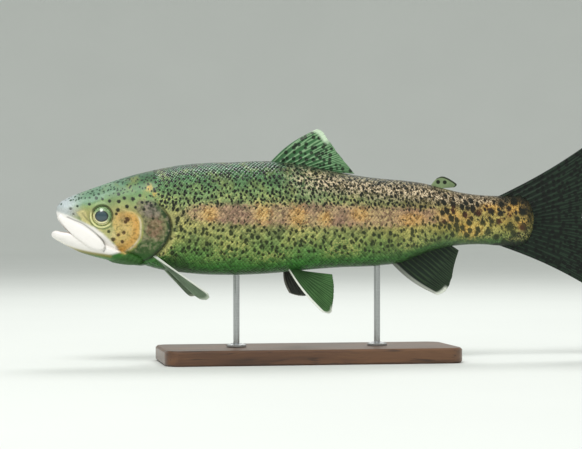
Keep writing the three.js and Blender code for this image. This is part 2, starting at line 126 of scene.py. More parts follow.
# %% Stations of the body, the lower jaw and the hollow of the mouth
COLUMNS = {"back": 1, "belly": 2, "half": 3, "wide": 4, "keel": 5}
BODY = {
    # x, back, belly, half width, widest height, keel
    "stations": np.array([
        (-221.2, 126.2, 111.0, 8.2, 119.6, 3.2),
        (-217.6, 127.2, 110.6, 9.4, 119.4, 3.4),
        (-214.2, 128.8, 107.6, 10.4, 119.0, 3.4),
        (-210.3, 130.8, 103.8, 11.4, 118.5, 3.2),
        (-202.5, 134.0, 97.6, 13.1, 117.7, 3.0),
        (-194.8, 136.8, 92.8, 14.7, 116.9, 2.8),
        (-187.0, 139.6, 89.6, 16.1, 116.2, 2.7),
        (-171.4, 144.9, 84.6, 18.7, 114.8, 2.5),
        (-155.7, 149.4, 78.2, 21.0, 113.7, 2.3),
        (-139.9, 152.8, 73.6, 22.9, 113.2, 2.3),
        (-124.1, 155.7, 71.3, 24.2, 113.0, 2.3),
        (-108.3, 157.3, 69.7, 25.0, 113.0, 2.3),
        (-84.0, 158.2, 69.0, 25.5, 113.3, 2.3),
        (-50.7, 159.2, 70.2, 25.0, 113.8, 2.3),
        (-24.0, 156.0, 72.7, 23.6, 114.0, 2.3),
        (4.3, 150.4, 74.6, 21.2, 114.0, 2.3),
        (37.1, 145.9, 76.0, 17.6, 113.8, 2.3),
        (54.0, 144.6, 78.4, 15.6, 113.5, 2.3),
        (72.0, 142.4, 85.2, 13.4, 113.4, 2.2),
        (88.0, 138.6, 89.8, 11.4, 113.2, 2.2),
        (104.0, 135.0, 92.1, 9.7, 113.1, 2.2),
        (122.0, 132.8, 92.7, 7.9, 112.8, 2.2),
        (136.0, 132.4, 91.6, 6.5, 112.6, 2.2),
        (152.0, 132.8, 91.0, 4.8, 112.6, 2.2),
        (166.8, 132.0, 93.0, 3.8, 112.8, 2.2),
    ]),
    "front_cap": 5.5,
    "rear_cap": 13,
    "crown": 2.1,
}
JAW = {
    "stations": np.array([
        (-225.0, 104.8, 97.4, 7.0, 101.2, 2.4),
        (-221.5, 104.8, 96.6, 8.4, 101.0, 2.4),
        (-218.0, 104.4, 95.0, 9.5, 100.4, 2.4),
        (-210.3, 104.2, 90.4, 11.2, 98.6, 2.4),
        (-202.5, 101.6, 86.9, 12.6, 96.0, 2.4),
        (-194.8, 98.6, 84.4, 13.8, 93.6, 2.4),
        (-179.2, 92.0, 80.5, 15.2, 88.6, 2.4),
        (-163.5, 86.5, 77.3, 14.6, 83.6, 2.4),
        (-149.0, 82.0, 75.2, 10.5, 79.0, 2.4),
    ]),
    "front_cap": 5.5,
    "rear_cap": 8,
    "crown": 2.8,
}
MOUTH = {
    "stations": np.array([
        (-221.5, 110.6, 102.0, 5.0, 106.5, 2.2),
        (-214.0, 112.0, 98.0, 7.8, 105.0, 2.4),
        (-205.0, 109.5, 93.5, 9.4, 101.5, 2.4),
        (-195.0, 105.5, 90.0, 10.4, 98.0, 2.4),
        (-181.0, 99.0, 87.0, 9.5, 93.5, 2.2),
    ]),
    "front_cap": 4,
    "rear_cap": 9,
    "crown": 2.2,
}
BEND = {"from": 40, "to": 225, "sway": 9}
COAT_DEPTH = 0.3  # the skin lies this far inside the CAD surface, to leave room for scales

# %% [markdown]
# ## Curves through the stations
#
# The functions below are the CAD model's own, written for whole arrays at once. `form_point`
# gives the surface point at a place along the fish and an angle around it: 0 is its right side,
# a quarter turn is its back. `bent` adds the slight swimming curve of the tail.

# %% The form as functions
def smooth_through(places, values, at):
    """A smooth cubic through points given as parallel lists of places and values."""
    places = np.asarray(places, dtype=float)
    values = np.asarray(values, dtype=float)
    slopes = np.diff(values) / np.diff(places)
    gaps = np.diff(places)
    middle = (slopes[:-1] * gaps[1:] + slopes[1:] * gaps[:-1]) / (gaps[1:] + gaps[:-1])
    tangents = np.concatenate([slopes[:1], middle, slopes[-1:]])
    x = np.clip(at, places[0], places[-1])
    k = np.clip(np.searchsorted(places, x) - 1, 0, len(places) - 2)
    t = (x - places[k]) / gaps[k]
    rise = tangents[k] * gaps[k] * (t**3 - 2 * t**2 + t)
    fall = tangents[k + 1] * gaps[k] * (t**3 - t**2)
    ease = 3 * t**2 - 2 * t**3
    return values[k] * (1 - ease) + values[k + 1] * ease + rise + fall


def station(form, key, x):
    return smooth_through(form["stations"][:, 0], form["stations"][:, COLUMNS[key]], x)


def end_round(form, x, grow):
    """0 at each end of the form and 1 past its caps, along a quarter ellipse."""
    front = np.clip((x - form["stations"][0, 0] + grow) / form["front_cap"], 0, 1)
    rear = np.clip((form["stations"][-1, 0] + grow - x) / form["rear_cap"], 0, 1)
    return np.sqrt((1 - (1 - front) ** 2) * (1 - (1 - rear) ** 2))


def form_point(form, x, angle, grow=0.0):
    """Points on a form's surface, moved outwards by grow."""
    cap = end_round(form, x, grow)
    wide = station(form, "wide", x)
    up = np.sin(angle) >= 0
    reach = np.where(up, station(form, "back", x) - wide, wide - station(form, "belly", x))
    power = 2 / np.where(up, form["crown"], station(form, "keel", x))
    across = np.sign(np.cos(angle)) * np.abs(np.cos(angle)) ** power
    height = np.sign(np.sin(angle)) * np.abs(np.sin(angle)) ** power
    y = (station(form, "half", x) + grow) * cap * across
    z = wide + (reach + grow) * cap * height
    return np.stack(np.broadcast_arrays(x, y, z), axis=-1)


def depth_over(form, points, grow=0.0):
    """Roughly how far outside a form each point is, in millimetres, and less than 0 inside."""
    x, y, z = points.T
    cap = np.maximum(end_round(form, x, grow), 0.05)
    wide = station(form, "wide", x)
    up = z >= wide
    reach = np.where(up, station(form, "back", x) - wide, wide - station(form, "belly", x))
    square = np.where(up, form["crown"], station(form, "keel", x))
    across = np.abs(y) / ((station(form, "half", x) + grow) * cap)
    height = np.abs(z - wide) / ((reach + grow) * cap)
    share = (across**square + height**square) ** (1 / square)
    return (1 - 1 / np.maximum(share, 1e-6)) * np.hypot(y, z - wide)


def bent(points):
    share = np.maximum(0, (points[:, 0] - BEND["from"]) / (BEND["to"] - BEND["from"]))
    moved = points.copy()
    moved[:, 1] += BEND["sway"] * share**2
    return moved


print("girth at the dorsal fin:", np.round(form_point(BODY, -50.7, np.array([0, math.pi / 2])), 1))

# %% [markdown]
# ## A loft from a sphere
#
# A UV sphere is already a closed skin with rings and a pole at each end, which is just what a
# fish's body is. `lofted` adds one with a ring for each wanted place and moves every vertex to
# where the form says, so the poles stay closed and no seam is left. Scaling the rings by hand
# with proportional editing would work too, but it couldn't repeat the CAD model's outline.

# %% The loft helper
def face_outwards(piece):
    activate(piece)
    bpy.ops.object.mode_set(mode="EDIT")
    bpy.ops.mesh.select_all(action="SELECT")
    bpy.ops.mesh.normals_make_consistent(inside=False)
    bpy.ops.object.mode_set(mode="OBJECT")


def drop_uv_maps(piece):
    while piece.data.uv_layers:
        piece.data.uv_layers.remove(piece.data.uv_layers[0])


def lofted(name, places, columns, shape):
    """A UV sphere drawn through places. shape(place, angle) gives points in millimetres."""
    deselect()
    bpy.ops.mesh.primitive_uv_sphere_add(segments=columns, ring_count=len(places) - 1)
    piece = bpy.context.object
    piece.name = piece.data.name = name
    unit = points_of(piece) * MM
    latitude = np.arctan2(np.hypot(unit[:, 0], unit[:, 1]), unit[:, 2]) / math.pi
    ring = np.rint(latitude * (len(places) - 1)).astype(int)
    angle = np.arctan2(unit[:, 1], unit[:, 0])
    place_points(piece, shape(np.asarray(places)[ring], angle))
    drop_uv_maps(piece)
    face_outwards(piece)
    return piece


def combine(piece, other, operation):
    """Joins or cuts two closed meshes, and removes the second."""
    activate(piece)
    boolean = piece.modifiers.new("combine", "BOOLEAN")
    boolean.operation = operation
    boolean.object = other
    boolean.solver = "MANIFOLD"
    bpy.ops.object.modifier_apply(modifier=boolean.name)
    bpy.data.objects.remove(other, do_unlink=True)


def places_between(form, pitches, grow):
    """Ring places along a form: close together round each end, then at the pitches given."""
    first = form["stations"][0, 0] - grow
    last = form["stations"][-1, 0] + grow
    round_off = 1 - np.cos(np.linspace(0, math.pi / 2, 10))
    rings = list(first + form["front_cap"] * round_off)
    for end, pitch in pitches:
        end = min(end, last - form["rear_cap"])
        count = max(1, round((end - rings[-1]) / pitch))
        rings += list(np.linspace(rings[-1], end, count + 1)[1:])
    return rings + list(last - form["rear_cap"] * round_off[::-1][1:])


# %% [markdown]
# ## The skin's base: body, lower jaw and mouth in one closed surface
#
# Rings lie half a millimetre apart on the head, where the skin folds, and wider apart behind it.
# The columns are drawn a little closer together on the flank than on the back. The lower jaw is
# a loft of its own, joined to the body, and the hollow of the mouth is cut out of both, which
# leaves thin lips and a real inside to the mouth.

# %% Loft the body and the jaw and hollow the mouth
def even_angle(angle):
    """Draws the columns closer on the deep flanks, so that they are evenly apart on the skin."""
    return angle - 0.14 * np.sin(2 * angle)


def body_loft(name, form, pitches, columns, grow):
    return lofted(
        name,
        places_between(form, pitches, grow),
        columns,
        lambda x, angle: form_point(form, x, even_angle(angle), grow),
    )


skin = body_loft("trout_skin", BODY, [(-128, 0.55), (170, 1.8)], 208, -COAT_DEPTH)
jaw = body_loft("jaw", JAW, [(-149, 0.8)], 120, -COAT_DEPTH)
combine(skin, jaw, "UNION")
mouth = body_loft("mouth", MOUTH, [(-181, 1.0)], 72, COAT_DEPTH)
combine(skin, mouth, "DIFFERENCE")
print("body, jaw and mouth:", len(skin.data.polygons), "faces")

# %% [markdown]
# ## The maxilla and the eye sockets
#
# The maxilla is the bony plate along each side of a trout's mouth. It is lofted along its own
# centre line with a flat, rounded section and joined to the skin, which gives it a true edge.
# Each socket is cut with a plug as wide as the eye's opening, rounded at its inner end.

# %% Maxilla plates and eye sockets
MAXILLA = {
    "front": (-219.6, 116.2),
    "rear": (-184.6, 90.4),
    "half_widths": [1.9, 3.7, 4.9, 5.3, 5.3, 4.8, 3.4],
    "outer_half": [8.6, 10.8, 12.5, 14.0, 15.2, 16.2, 16.7],
    "half_thickness": 1.3,
    "sag": 1.2,
}
EYE = {"x": -185.9, "z": 115.6, "depth": 11.6, "radius": 8.2, "half_depth": 6.2, "turn": 0.16}
EYE_OPENING = 7.7  # radius of the hole in the skin, so its rim lies on the globe
PLUG_END = 12  # the plug's outer end, well outside the head


def maxilla_point(share, angle, side):
    """A point on the maxilla at a share of its length and an angle round its section."""
    marks = np.linspace(0, 1, len(MAXILLA["half_widths"]))
    (front_x, front_z), (rear_x, rear_z) = MAXILLA["front"], MAXILLA["rear"]
    length = math.hypot(rear_x - front_x, rear_z - front_z)
    dx, dz = (rear_x - front_x) / length, (rear_z - front_z) / length
    cap = np.sqrt((1 - (1 - np.clip(share / 0.06, 0, 1)) ** 2))
    cap = cap * np.sqrt(1 - (1 - np.clip((1 - share) / 0.13, 0, 1)) ** 2)
    across = smooth_through(marks, MAXILLA["half_widths"], share) * cap
    across = across * np.sign(np.cos(angle)) * np.abs(np.cos(angle)) ** 0.75
    through = MAXILLA["half_thickness"] * cap**0.5 * np.sin(angle)
    x = front_x + dx * share * length - dz * across
    z = front_z + dz * share * length + dx * across - MAXILLA["sag"] * np.sin(math.pi * share)
    face = smooth_through(marks, MAXILLA["outer_half"], share) - COAT_DEPTH
    return np.stack([x, side * (face - MAXILLA["half_thickness"] + through), z], axis=-1)


def eye_frame(side):
    """The eye's centre, and the directions forward, up and out along its axis."""
    centre = np.array([EYE["x"], side * EYE["depth"], EYE["z"]])
    turn = EYE["turn"]
    out = np.array([-math.sin(turn), side * math.cos(turn), 0])
    forward = np.array([-math.cos(turn), -side * math.sin(turn), 0])
    return centre, forward, np.array([0.0, 0.0, 1.0]), out


def eye_point(side, radius, around, height):
    centre, forward, up, out = eye_frame(side)
    flat = np.cos(around)[:, None] * forward + np.sin(around)[:, None] * up
    return centre + radius[:, None] * flat + height[:, None] * out


def socket_plug(share, angle, side):
    """A round-ended plug: the globe's own shape inside, and straight sides out of the head."""
    height = np.interp(share, [0, 0.5, 1], [-EYE["half_depth"], 0, PLUG_END])
    inner = np.sqrt(np.clip(1 - (height / EYE["half_depth"]) ** 2, 0, 1)) * EYE["radius"]
    straight = np.where(height > PLUG_END - 0.01, 0, EYE_OPENING)
    radius = np.where(height < 0, np.minimum(inner, EYE_OPENING), straight)
    return eye_point(side, radius, angle, height)


for side in (-1, 1):
    plate = lofted(
        "maxilla", np.linspace(0, 1, 61), 40, lambda s, a, side=side: maxilla_point(s, a, side)
    )
    combine(skin, plate, "UNION")
    plug = lofted(
        "plug", np.linspace(0, 1, 25), 64, lambda s, a, side=side: socket_plug(s, a, side)
    )
    combine(skin, plug, "DIFFERENCE")
print("with maxillae and sockets:", len(skin.data.polygons), "faces")

# %% [markdown]
# ## Softening the joins
#
# A boolean leaves a hard crease where the jaw meets the head, where living skin is a soft fold.
# The vertices near both surfaces are selected by their distance to them, and the same is done
# round the eye's opening. Smoothing in edit mode then rounds just those.

# %% Round the creases
def soften(piece, chosen, times):
    activate(piece)
    piece.data.polygons.foreach_set("select", np.zeros(len(piece.data.polygons), dtype=bool))
    piece.data.edges.foreach_set("select", np.zeros(len(piece.data.edges), dtype=bool))
    piece.data.vertices.foreach_set("select", chosen)
    bpy.ops.object.mode_set(mode="EDIT")
    bpy.ops.mesh.select_mode(type="VERT")
    bpy.ops.mesh.vertices_smooth(factor=0.5, repeat=times)
    bpy.ops.object.mode_set(mode="OBJECT")


def eye_distance(points):
    """Distance from the nearer eye's axis, height along it, and the way forward and up from it."""
    side = np.where(points[:, 1] < 0, -1.0, 1.0)
    turn = EYE["turn"]
    centre = np.column_stack([EYE["x"] + 0 * side, side * EYE["depth"], EYE["z"] + 0 * side])
    off = points - centre
    height = off[:, 1] * side * math.cos(turn) - off[:, 0] * math.sin(turn)
    forward = -off[:, 0] * math.cos(turn) - off[:, 1] * side * math.sin(turn)
    return np.hypot(forward, off[:, 2]), height, forward, off[:, 2]


FOLD = 1.5  # half width of the fold between jaw and head
LIP_END = -206  # the lips in front of this place stay crisp

points = points_of(skin)
near_join = points[:, 0] > LIP_END
for form in (BODY, JAW):
    near_join &= np.abs(depth_over(form, points, -COAT_DEPTH)) < FOLD
soften(skin, near_join, 12)
radius, height, forward, up = eye_distance(points_of(skin))
round_eye = (radius < EYE_OPENING + 1.6) & (height > 0)
soften(skin, round_eye, 4)
print("softened", near_join.sum(), "vertices at the jaw and", round_eye.sum(), "round the eyes")

# %% [markdown]
# ## Lines on the head
#
# A trout's head is built of thin plates of bone under the skin. Their edges show as fine lines
# and steps: the preopercle behind the cheek, the gill cover's free edge, the maxilla's top. Each
# line is a smooth curve through a few points, in side view, and the skin's relief and colours
# both follow the distance to it. The colours paint shade into the grooves and a highlight on the
# preopercle's ridge.

# %% Curves in side view, and the distance to them
PREOPERCLE = [
    (-171, 121.5), (-166.9, 120.1), (-161.5, 118.6), (-158, 115.5), (-156.3, 110.9),
    (-156.1, 104.7), (-156.8, 98.5), (-159.6, 94.2), (-163, 90.4), (-166.9, 87.7),
    (-171.5, 85.4), (-178, 82.5), (-186, 79), (-196, 74),
]
GILL_EDGE = [
    (-150, 175), (-148.5, 150), (-146, 128), (-139.5, 119.8), (-134.9, 112.4), (-134, 105.5),
    (-135.3, 99.5), (-139, 92.4), (-145.5, 85.2), (-153, 79), (-160, 65),
]
MAXILLA_TOP = [
    (-213, 114.6), (-208, 112.4), (-201, 109.3), (-195.6, 105.4), (-189.4, 100.2),
    (-185.5, 95.6), (-183.7, 90.9), (-185.2, 87.9),
]
CHIN = [(-223, 96.6), (-214.7, 92.3), (-207, 89.6), (-199.2, 87.6), (-191.5, 86.2), (-180, 84.4)]
SUBOPERCLE = [(-157, 96.3), (-150, 95.4), (-143, 92.6), (-137.5, 89.6)]
EYE_CREASE = [(-201.6, 117.6), (-199.2, 114.4), (-196.8, 111.9), (-193.6, 108.6)]
HEAD_END = -96  # nothing behind this place belongs to the head
FAR_OFF = 60.0


def drawn(points, count=60):
    """A smooth curve through a few points, as many short steps."""
    points = np.array(points, dtype=float)
    steps = np.hypot(*np.diff(points, axis=0).T)
    along = np.concatenate([[0], np.cumsum(steps)])
    at = np.linspace(0, along[-1], count)
    return np.stack([smooth_through(along, points[:, k], at) for k in (0, 1)], axis=-1)


def beside(points, x, z):
    """Distance to a curve in side view: above 0 on the left of its direction, below 0 on its right."""
    curve = drawn(points)
    nearest = np.full(len(x), np.inf)
    sign = np.ones(len(x))
    for (ax, az), (bx, bz) in zip(curve[:-1], curve[1:]):
        dx, dz = bx - ax, bz - az
        share = np.clip(((x - ax) * dx + (z - az) * dz) / (dx * dx + dz * dz), 0, 1)
        off_x, off_z = x - ax - share * dx, z - az - share * dz
        distance = np.hypot(off_x, off_z)
        closer = distance < nearest
        nearest = np.where(closer, distance, nearest)
        sign = np.where(closer, np.where(dx * off_z - dz * off_x >= 0, 1.0, -1.0), sign)
    return nearest * sign


def within(outline, x, z, soft):
    """1 inside a closed outline in side view and 0 outside, easing over soft millimetres."""
    loop = outline + outline[:1]
    inside = np.zeros(len(x), dtype=bool)
    for (ax, az), (bx, bz) in zip(loop[:-1], loop[1:]):
        crosses = (az > z) != (bz > z)
        inside ^= crosses & (x < ax + (z - az) * (bx - ax) / (bz - az + 1e-9))
    edge = np.full(len(x), np.inf)
    for (ax, az), (bx, bz) in zip(loop[:-1], loop[1:]):
        dx, dz = bx - ax, bz - az
        share = np.clip(((x - ax) * dx + (z - az) * dz) / (dx * dx + dz * dz), 0, 1)
        edge = np.minimum(edge, np.hypot(x - ax - share * dx, z - az - share * dz))
    return smoothstep(-soft, soft, np.where(inside, edge, -edge))


def gill_distance(points):
    """Distance behind the gill cover's free edge, which runs forward under the throat as a V."""
    x, y, z = points.T
    middle = np.maximum(0, 1 - np.abs(y) / 15) ** 1.3 * smoothstep(85, 77, z)
    return beside(GILL_EDGE, x + 24 * middle, z)


# %% [markdown]
# ## Relief on the head
#
# The skin is pushed in or out along its own normals by a fraction of a millimetre: the gill
# cover stands proud and ends in a step with a slit behind it, the bones' edges are fine grooves,
# the nostrils are two pits on each side, and the gill membrane under the throat lies in folds.
# A sculptor would carve these with a crease brush. A formula puts both sides in the same place.

# %% Carve the head
NOSTRILS = [(-210.5, 121.0, 0.85), (-208.3, 117.0, 0.75)]


def head_relief(points):
    x, y, z = points.T
    gill = gill_distance(points)
    bone = beside(PREOPERCLE, x, z)
    on_cover = 1 - smoothstep(104, 116, z) * (1 - smoothstep(-167, -156, x))
    lift = smoothstep(-0.2, 2.8, bone) * smoothstep(0.2, -0.45, gill) * smoothstep(132, 120, z)
    relief = 0.95 * lift * on_cover
    relief -= 1.2 * ridge(gill - 0.7, 0.55) * smoothstep(134, 125, z)
    relief += 0.3 * ridge(gill - 2.6, 1.1) * smoothstep(126, 118, z)
    relief -= 0.5 * ridge(bone, 0.6) * smoothstep(84, 86, z) * smoothstep(-171, -165, x + z - 105)
    relief += 0.28 * ridge(bone + 1.5, 0.9) * smoothstep(84, 88, z)
    relief -= 0.3 * ridge(beside(SUBOPERCLE, x, z), 0.6)
    relief -= 0.5 * ridge(beside(MAXILLA_TOP, x, z), 0.55)
    relief -= 0.45 * ridge(beside(CHIN, x, z), 0.7)
    relief -= 0.4 * ridge(beside(EYE_CREASE, x, z), 0.6)
    radius, height, forward, up = eye_distance(points)
    outer = smoothstep(-1, 1, height)
    relief += 0.45 * ridge(radius - 9.3, 0.9) * outer
    relief -= 0.22 * ridge(radius - 13.2, 0.8) * outer * smoothstep(4, -3, up)
    for at_x, at_z, wide in NOSTRILS:
        away = np.hypot(x - at_x, z - at_z)
        relief += 0.35 * ridge(away - 1.8 * wide, 0.6 * wide) - 1.5 * ridge(away, wide)
    throat = smoothstep(86, 82, z) * smoothstep(-1.5, -3.5, gill) * smoothstep(-24, -19, gill)
    relief += 0.3 * np.cos(2 * math.pi * gill / 3.6) * throat
    relief -= 0.5 * ridge(y, 0.9) * smoothstep(84, 80, z) * smoothstep(-150, -156, x)
    return relief * smoothstep(HEAD_END, HEAD_END - 8, x)


skin_base = points_of(skin)
relief = head_relief(skin_base) * (np.abs(depth_over(MOUTH, skin_base, COAT_DEPTH)) > 0.4)
carved = skin_base + normals_of(skin) * relief[:, None]
print("relief from", round(relief.min(), 2), "to", round(relief.max(), 2), "mm")

# %% [markdown]
# ## Markings, as masks
#
# A trout's colours follow its shape: dark back, rosy band, pale belly, white jaws, gold cheek.
# Some masks and ramp stops paint shade and highlights, as noted where they are.
# Each zone is a mask from 0 to 1, worked out from the place on the fish and stored on the
# vertices. Skin and scales use the same masks, so they carry the same markings, and the material
# mixes its colours and spots by them. Painting by hand would give one fish only one coat.

# %% Where on the fish a point is
ARC_STEP = 2.0
ARC_PLACES = np.arange(-222.0, 168.0, ARC_STEP)
ARC_ANGLES = np.linspace(0, math.pi / 2, 49)


def arc_table(turn):
    """Length along the skin from the widest line, up or down, for each place and angle."""
    x, angle = np.meshgrid(ARC_PLACES, ARC_ANGLES * turn, indexing="ij")
    section = form_point(BODY, x, angle, -COAT_DEPTH)
    steps = np.linalg.norm(np.diff(section, axis=1), axis=2)
    return np.concatenate([np.zeros((len(ARC_PLACES), 1)), np.cumsum(steps, axis=1)], axis=1)


ARC_UP, ARC_DOWN = arc_table(1), arc_table(-1)


def from_table(table, x, angle):
    """Reads a table at any place and angle, evenly between its entries."""
    row = np.clip((x - ARC_PLACES[0]) / ARC_STEP, 0, len(ARC_PLACES) - 1.001)
    column = np.clip(angle / ARC_ANGLES[1], 0, len(ARC_ANGLES) - 1.001)
    i, j = row.astype(int), column.astype(int)
    s, t = row - i, column - j
    low = table[i, j] * (1 - t) + table[i, j + 1] * t
    high = table[i + 1, j] * (1 - t) + table[i + 1, j + 1] * t
    return low * (1 - s) + high * s


def place_on_hide(points):
    """How high on the flank (-1 belly, 1 back), and the place on the flattened skin in mm."""
    x, y, z = points.T
    wide = station(BODY, "wide", x)
    up = z >= wide
    reach = np.where(up, station(BODY, "back", x) - wide, wide - station(BODY, "belly", x))
    rise = np.clip((z - wide) / reach, -1, 1)
    power = np.where(up, BODY["crown"], station(BODY, "keel", x)) / 2
    across = np.clip(np.abs(y) / station(BODY, "half", x), 0, 1)
    angle = np.arctan2(np.abs(rise) ** power, np.maximum(across, 1e-3) ** power)
    arc = np.where(up, from_table(ARC_UP, x, angle), -from_table(ARC_DOWN, x, angle))
    top = from_table(ARC_UP, x, np.full_like(x, math.pi / 2))
    return rise, np.stack([x, np.sign(y) * (top - arc), np.zeros_like(x)], axis=-1)


deepest = (ARC_UP[:, -1] + ARC_DOWN[:, -1]).max()
print("from back to belly the skin is", round(deepest, 1), "mm long at most")

# %% Outlines, spots and patches in side view
WHITE_JAWS = [
    (-230, 121), (-221, 119.2), (-212.8, 116.2), (-204.2, 112.2), (-198.5, 109.6),
    (-192, 106.5), (-186, 102), (-180, 96.4), (-175, 91.5), (-172.5, 87.6), (-181, 85),
    (-191.5, 86.2), (-199.2, 87.8), (-207, 89.8), (-214.7, 92.4), (-222, 95), (-230, 98),
]
CREAM = [
    (-206, 118.5), (-199.5, 120), (-196, 111), (-191, 105.8), (-184, 105), (-178, 107.5),
    (-175.5, 100), (-179.5, 94), (-187, 101), (-194, 106), (-201, 111),
]
CHEEK = [
    (-174.5, 119), (-166.8, 121.6), (-160.6, 118), (-157.2, 110.9), (-157.2, 98.5),
    (-161.5, 91), (-169.5, 86.4), (-176, 90), (-179, 97), (-178, 106), (-178.5, 113),
]
# the hollow above the pectoral fin's base, where a shadow is painted
AXIL = [(-138, 82), (-131, 88), (-123, 83), (-115, 75), (-124, 71), (-138, 75)]
PAINTED_SPOTS = [
    # x, z, radius
    (-167.3, 112.8, 2.1), (-168.6, 110.9, 1.5), (-169.9, 102.8, 1.6), (-174.1, 100.8, 1.4),
    (-181.4, 103.5, 1.4), (-178, 97.4, 1.7), (-170.9, 95.6, 1.5), (-173.7, 132.5, 1.5),
    (-169.5, 129.4, 1.5), (-162.9, 128.7, 1.7), (-173.7, 126.7, 1.6), (-180.7, 127.1, 1.4),
    (-190.7, 129.4, 1.4), (-186.1, 128.6, 1.1), (-188.8, 132.5, 1.1), (-167.5, 122.9, 1.6),
    (-161, 122.1, 1.3), (-174.5, 120.1, 1.7), (-175.7, 117.1, 1.2), (-155.9, 126, 1.3),
    (-152.4, 126, 1.2), (-196.1, 124.7, 1.2), (-205.3, 123.2, 1.0), (-147.6, 113.2, 1.1),
    (-149, 123.5, 1.5), (-154.5, 120.6, 1.3), (-146, 135, 1.4), (-157.5, 131.5, 1.3),
]
ROOT_SPOTS = [
    # the large spots where the tail begins
    (137.2, 125.3, 3.0), (143.7, 121.9, 2.6), (144.7, 107.0, 4.0), (136.4, 117.9, 2.8),
    (127.8, 119.9, 3.2), (125.4, 103.1, 3.0), (116.7, 117.9, 3.0), (139.7, 95.5, 2.8),
    (156.4, 107.1, 3.7), (155.6, 119.1, 3.7), (147.7, 101.9, 3.0), (134.2, 111.0, 2.6),
    (128.5, 111.5, 2.5), (148.5, 127.5, 3.4), (151.0, 113.2, 2.5), (120.5, 110.5, 2.6),
    (133.0, 99.0, 2.8),
]
RUST = [
    # x, z, radius of the spots that turn a rusty brown
    (144.0, 117.5, 3.2), (154.5, 105.5, 4.5), (135.5, 111.5, 3.2), (117.5, 118.5, 3.4),
    (106.5, 116.0, 3.4), (95.0, 121.0, 3.0), (126.5, 124.5, 3.2), (86.0, 113.0, 3.0),
]
AMBER = [
    # x, z, half length, half height of each patch of gold scales, where painted glints gather too
    (-62, 118, 7, 8), (-34, 115, 8, 9), (-12, 114, 6, 6), (17, 117, 9, 6), (60, 113, 12, 6),
    (-104, 117, 7, 6), (92, 117, 11, 5), (112, 105, 12, 6), (-150, 137, 2.6, 3.4),
    (-146, 133, 2.2, 2.6), (128, 122, 10, 4), (148, 122, 8, 4), (155, 110, 5, 2),
]
BAND_PLACES = [-130, -119, -80, -40, 0, 48, 80, 120]
BAND_HEIGHT = [118, 117.9, 117, 116.4, 116.4, 114.9, 115.7, 114]
BAND_HALF = [5, 6.5, 8.5, 10, 10, 8.5, 7, 5]
print(len(PAINTED_SPOTS) + len(ROOT_SPOTS), "spots and", len(AMBER), "gold patches have a place of their own")

# %% [markdown]
# ## The head's masks
#
# The head carries most of the zones: the white jaws, the golden cheek with a brown smudge, the
# gill cover with its rosy middle, painted shade low on the gill cover and at its edge, in the
# folds, round the eye, under the throat and above the pectoral fin, and painted highlights on the
# rims of bone and eyelid. They are worked out for the head's own points only, which saves time.

# %% Masks of the head
def patch(x, z, at_x, at_z, long, high):
    """1 at a place in side view, fading over a half length and a half height."""
    return ridge(np.hypot((x - at_x) / long, (z - at_z) / high), 1)


def head_masks(points, rise, gill):
    """Masks that are 0 behind the head. gill is the distance behind the gill cover's edge."""
    x, y, z = points.T
    bone = beside(PREOPERCLE, x, z)
    radius, height, forward, up = eye_distance(points)
    outer = height > 0
    low_front = smoothstep(1, -4, up - 0.6 * forward)
    cheek = within(CHEEK, x, z, 3.2) * smoothstep(124, 113, z)
    cover = smoothstep(0, 2, bone) * smoothstep(0.6, -0.6, gill) * smoothstep(131, 124, z)
    cover = cover * (1 - smoothstep(110, 118, z) * (1 - smoothstep(-164, -157, x)))
    # painted shade in the grooves: the gill slit, above the maxilla, the eye's creases, the nostril pits
    lines = [
        ridge(gill - 0.8, 0.75) * smoothstep(130, 124, z) * (0.35 + 0.65 * smoothstep(79, 86, z)),
        0.75 * ridge(beside(MAXILLA_TOP, x, z), 0.55),
        0.6 * ridge(beside(EYE_CREASE, x, z), 0.6),
        0.8 * ridge(radius - 9.7, 0.4) * outer * low_front,
    ]
    lines += [patch(x, z, at_x, at_z, wide, wide) for at_x, at_z, wide in NOSTRILS]
    on_crown = smoothstep(0.45, 0.9, rise + smoothstep(-176, -200, x) * 0.3)
    mouth = smoothstep(1.2, 0.5, np.abs(depth_over(MOUTH, points, COAT_DEPTH)))
    under = smoothstep(89, 84, z) * smoothstep(-205, -185, x)
    return {
        "crown": on_crown * smoothstep(-150, -188, x),
        "snout": smoothstep(-198, -215, x) * smoothstep(110, 118, z),
        "jaws": within(WHITE_JAWS, x, z, 1.3),
        "cream": within(CREAM, x, z, 1.8),
        "chin": ridge(beside(CHIN, x, z), 1.3),
        "mouth": mouth * smoothstep(-176, -182, x),
        "cheek": cheek,
        "ember": cheek * ridge(bone + 3.8, 4.8),
        "temple": patch(x, z, -171, 118, 11, 9),
        "smoke": patch(x, z, -170.5, 113.5, 3.5, 5.5),
        "cover": cover,
        "mauve": patch(x, z, -148, 120, 11, 7.5) * smoothstep(0.6, -0.6, gill),
        "rosy": cover * patch(x, z, -146, 106, 7.5, 9),
        # painted shade, low on the gill cover and near its free edge
        "cover_shade": cover * np.maximum(smoothstep(100, 92, z), 0.9 * ridge(gill + 1.2, 2.6)),
        "mottle": np.maximum(0.9 * cover * smoothstep(84, 92, z), 0.6 * cheek) * (gill < 1),
        # painted shade along the gill cover's free edge, where it overhangs the slit
        "gill_rim": ridge(gill + 0.7, 1.5) * smoothstep(124, 114, z) * smoothstep(79, 84, z),
        # painted highlight on the preopercle's raised ridge
        "bone_rim": ridge(bone + 0.9, 0.65) * smoothstep(86, 90, z) * smoothstep(117, 112, z),
        "tan": ridge(gill - 3.2, 2.2) * smoothstep(82, 86, z) * smoothstep(108, 98, z),
        # painted shadow above the pectoral fin's base
        "axil": within(AXIL, x, z, 4) * smoothstep(0, 2, gill),
        # painted shade under the head
        "throat": under * smoothstep(2, -2, gill) * (1 - cheek),
        # dark skin and painted shade in the eye's socket crease, weaker low in front
        "socket": ridge(radius - 8.35, 0.48) * outer * (1 - 0.8 * low_front),
        # painted highlight on the lower front rim of the eye
        "lid": smoothstep(7.9, 8.4, radius) * smoothstep(10.0, 9.1, radius) * outer * low_front,
        "lines": np.max(lines, axis=0),
    }
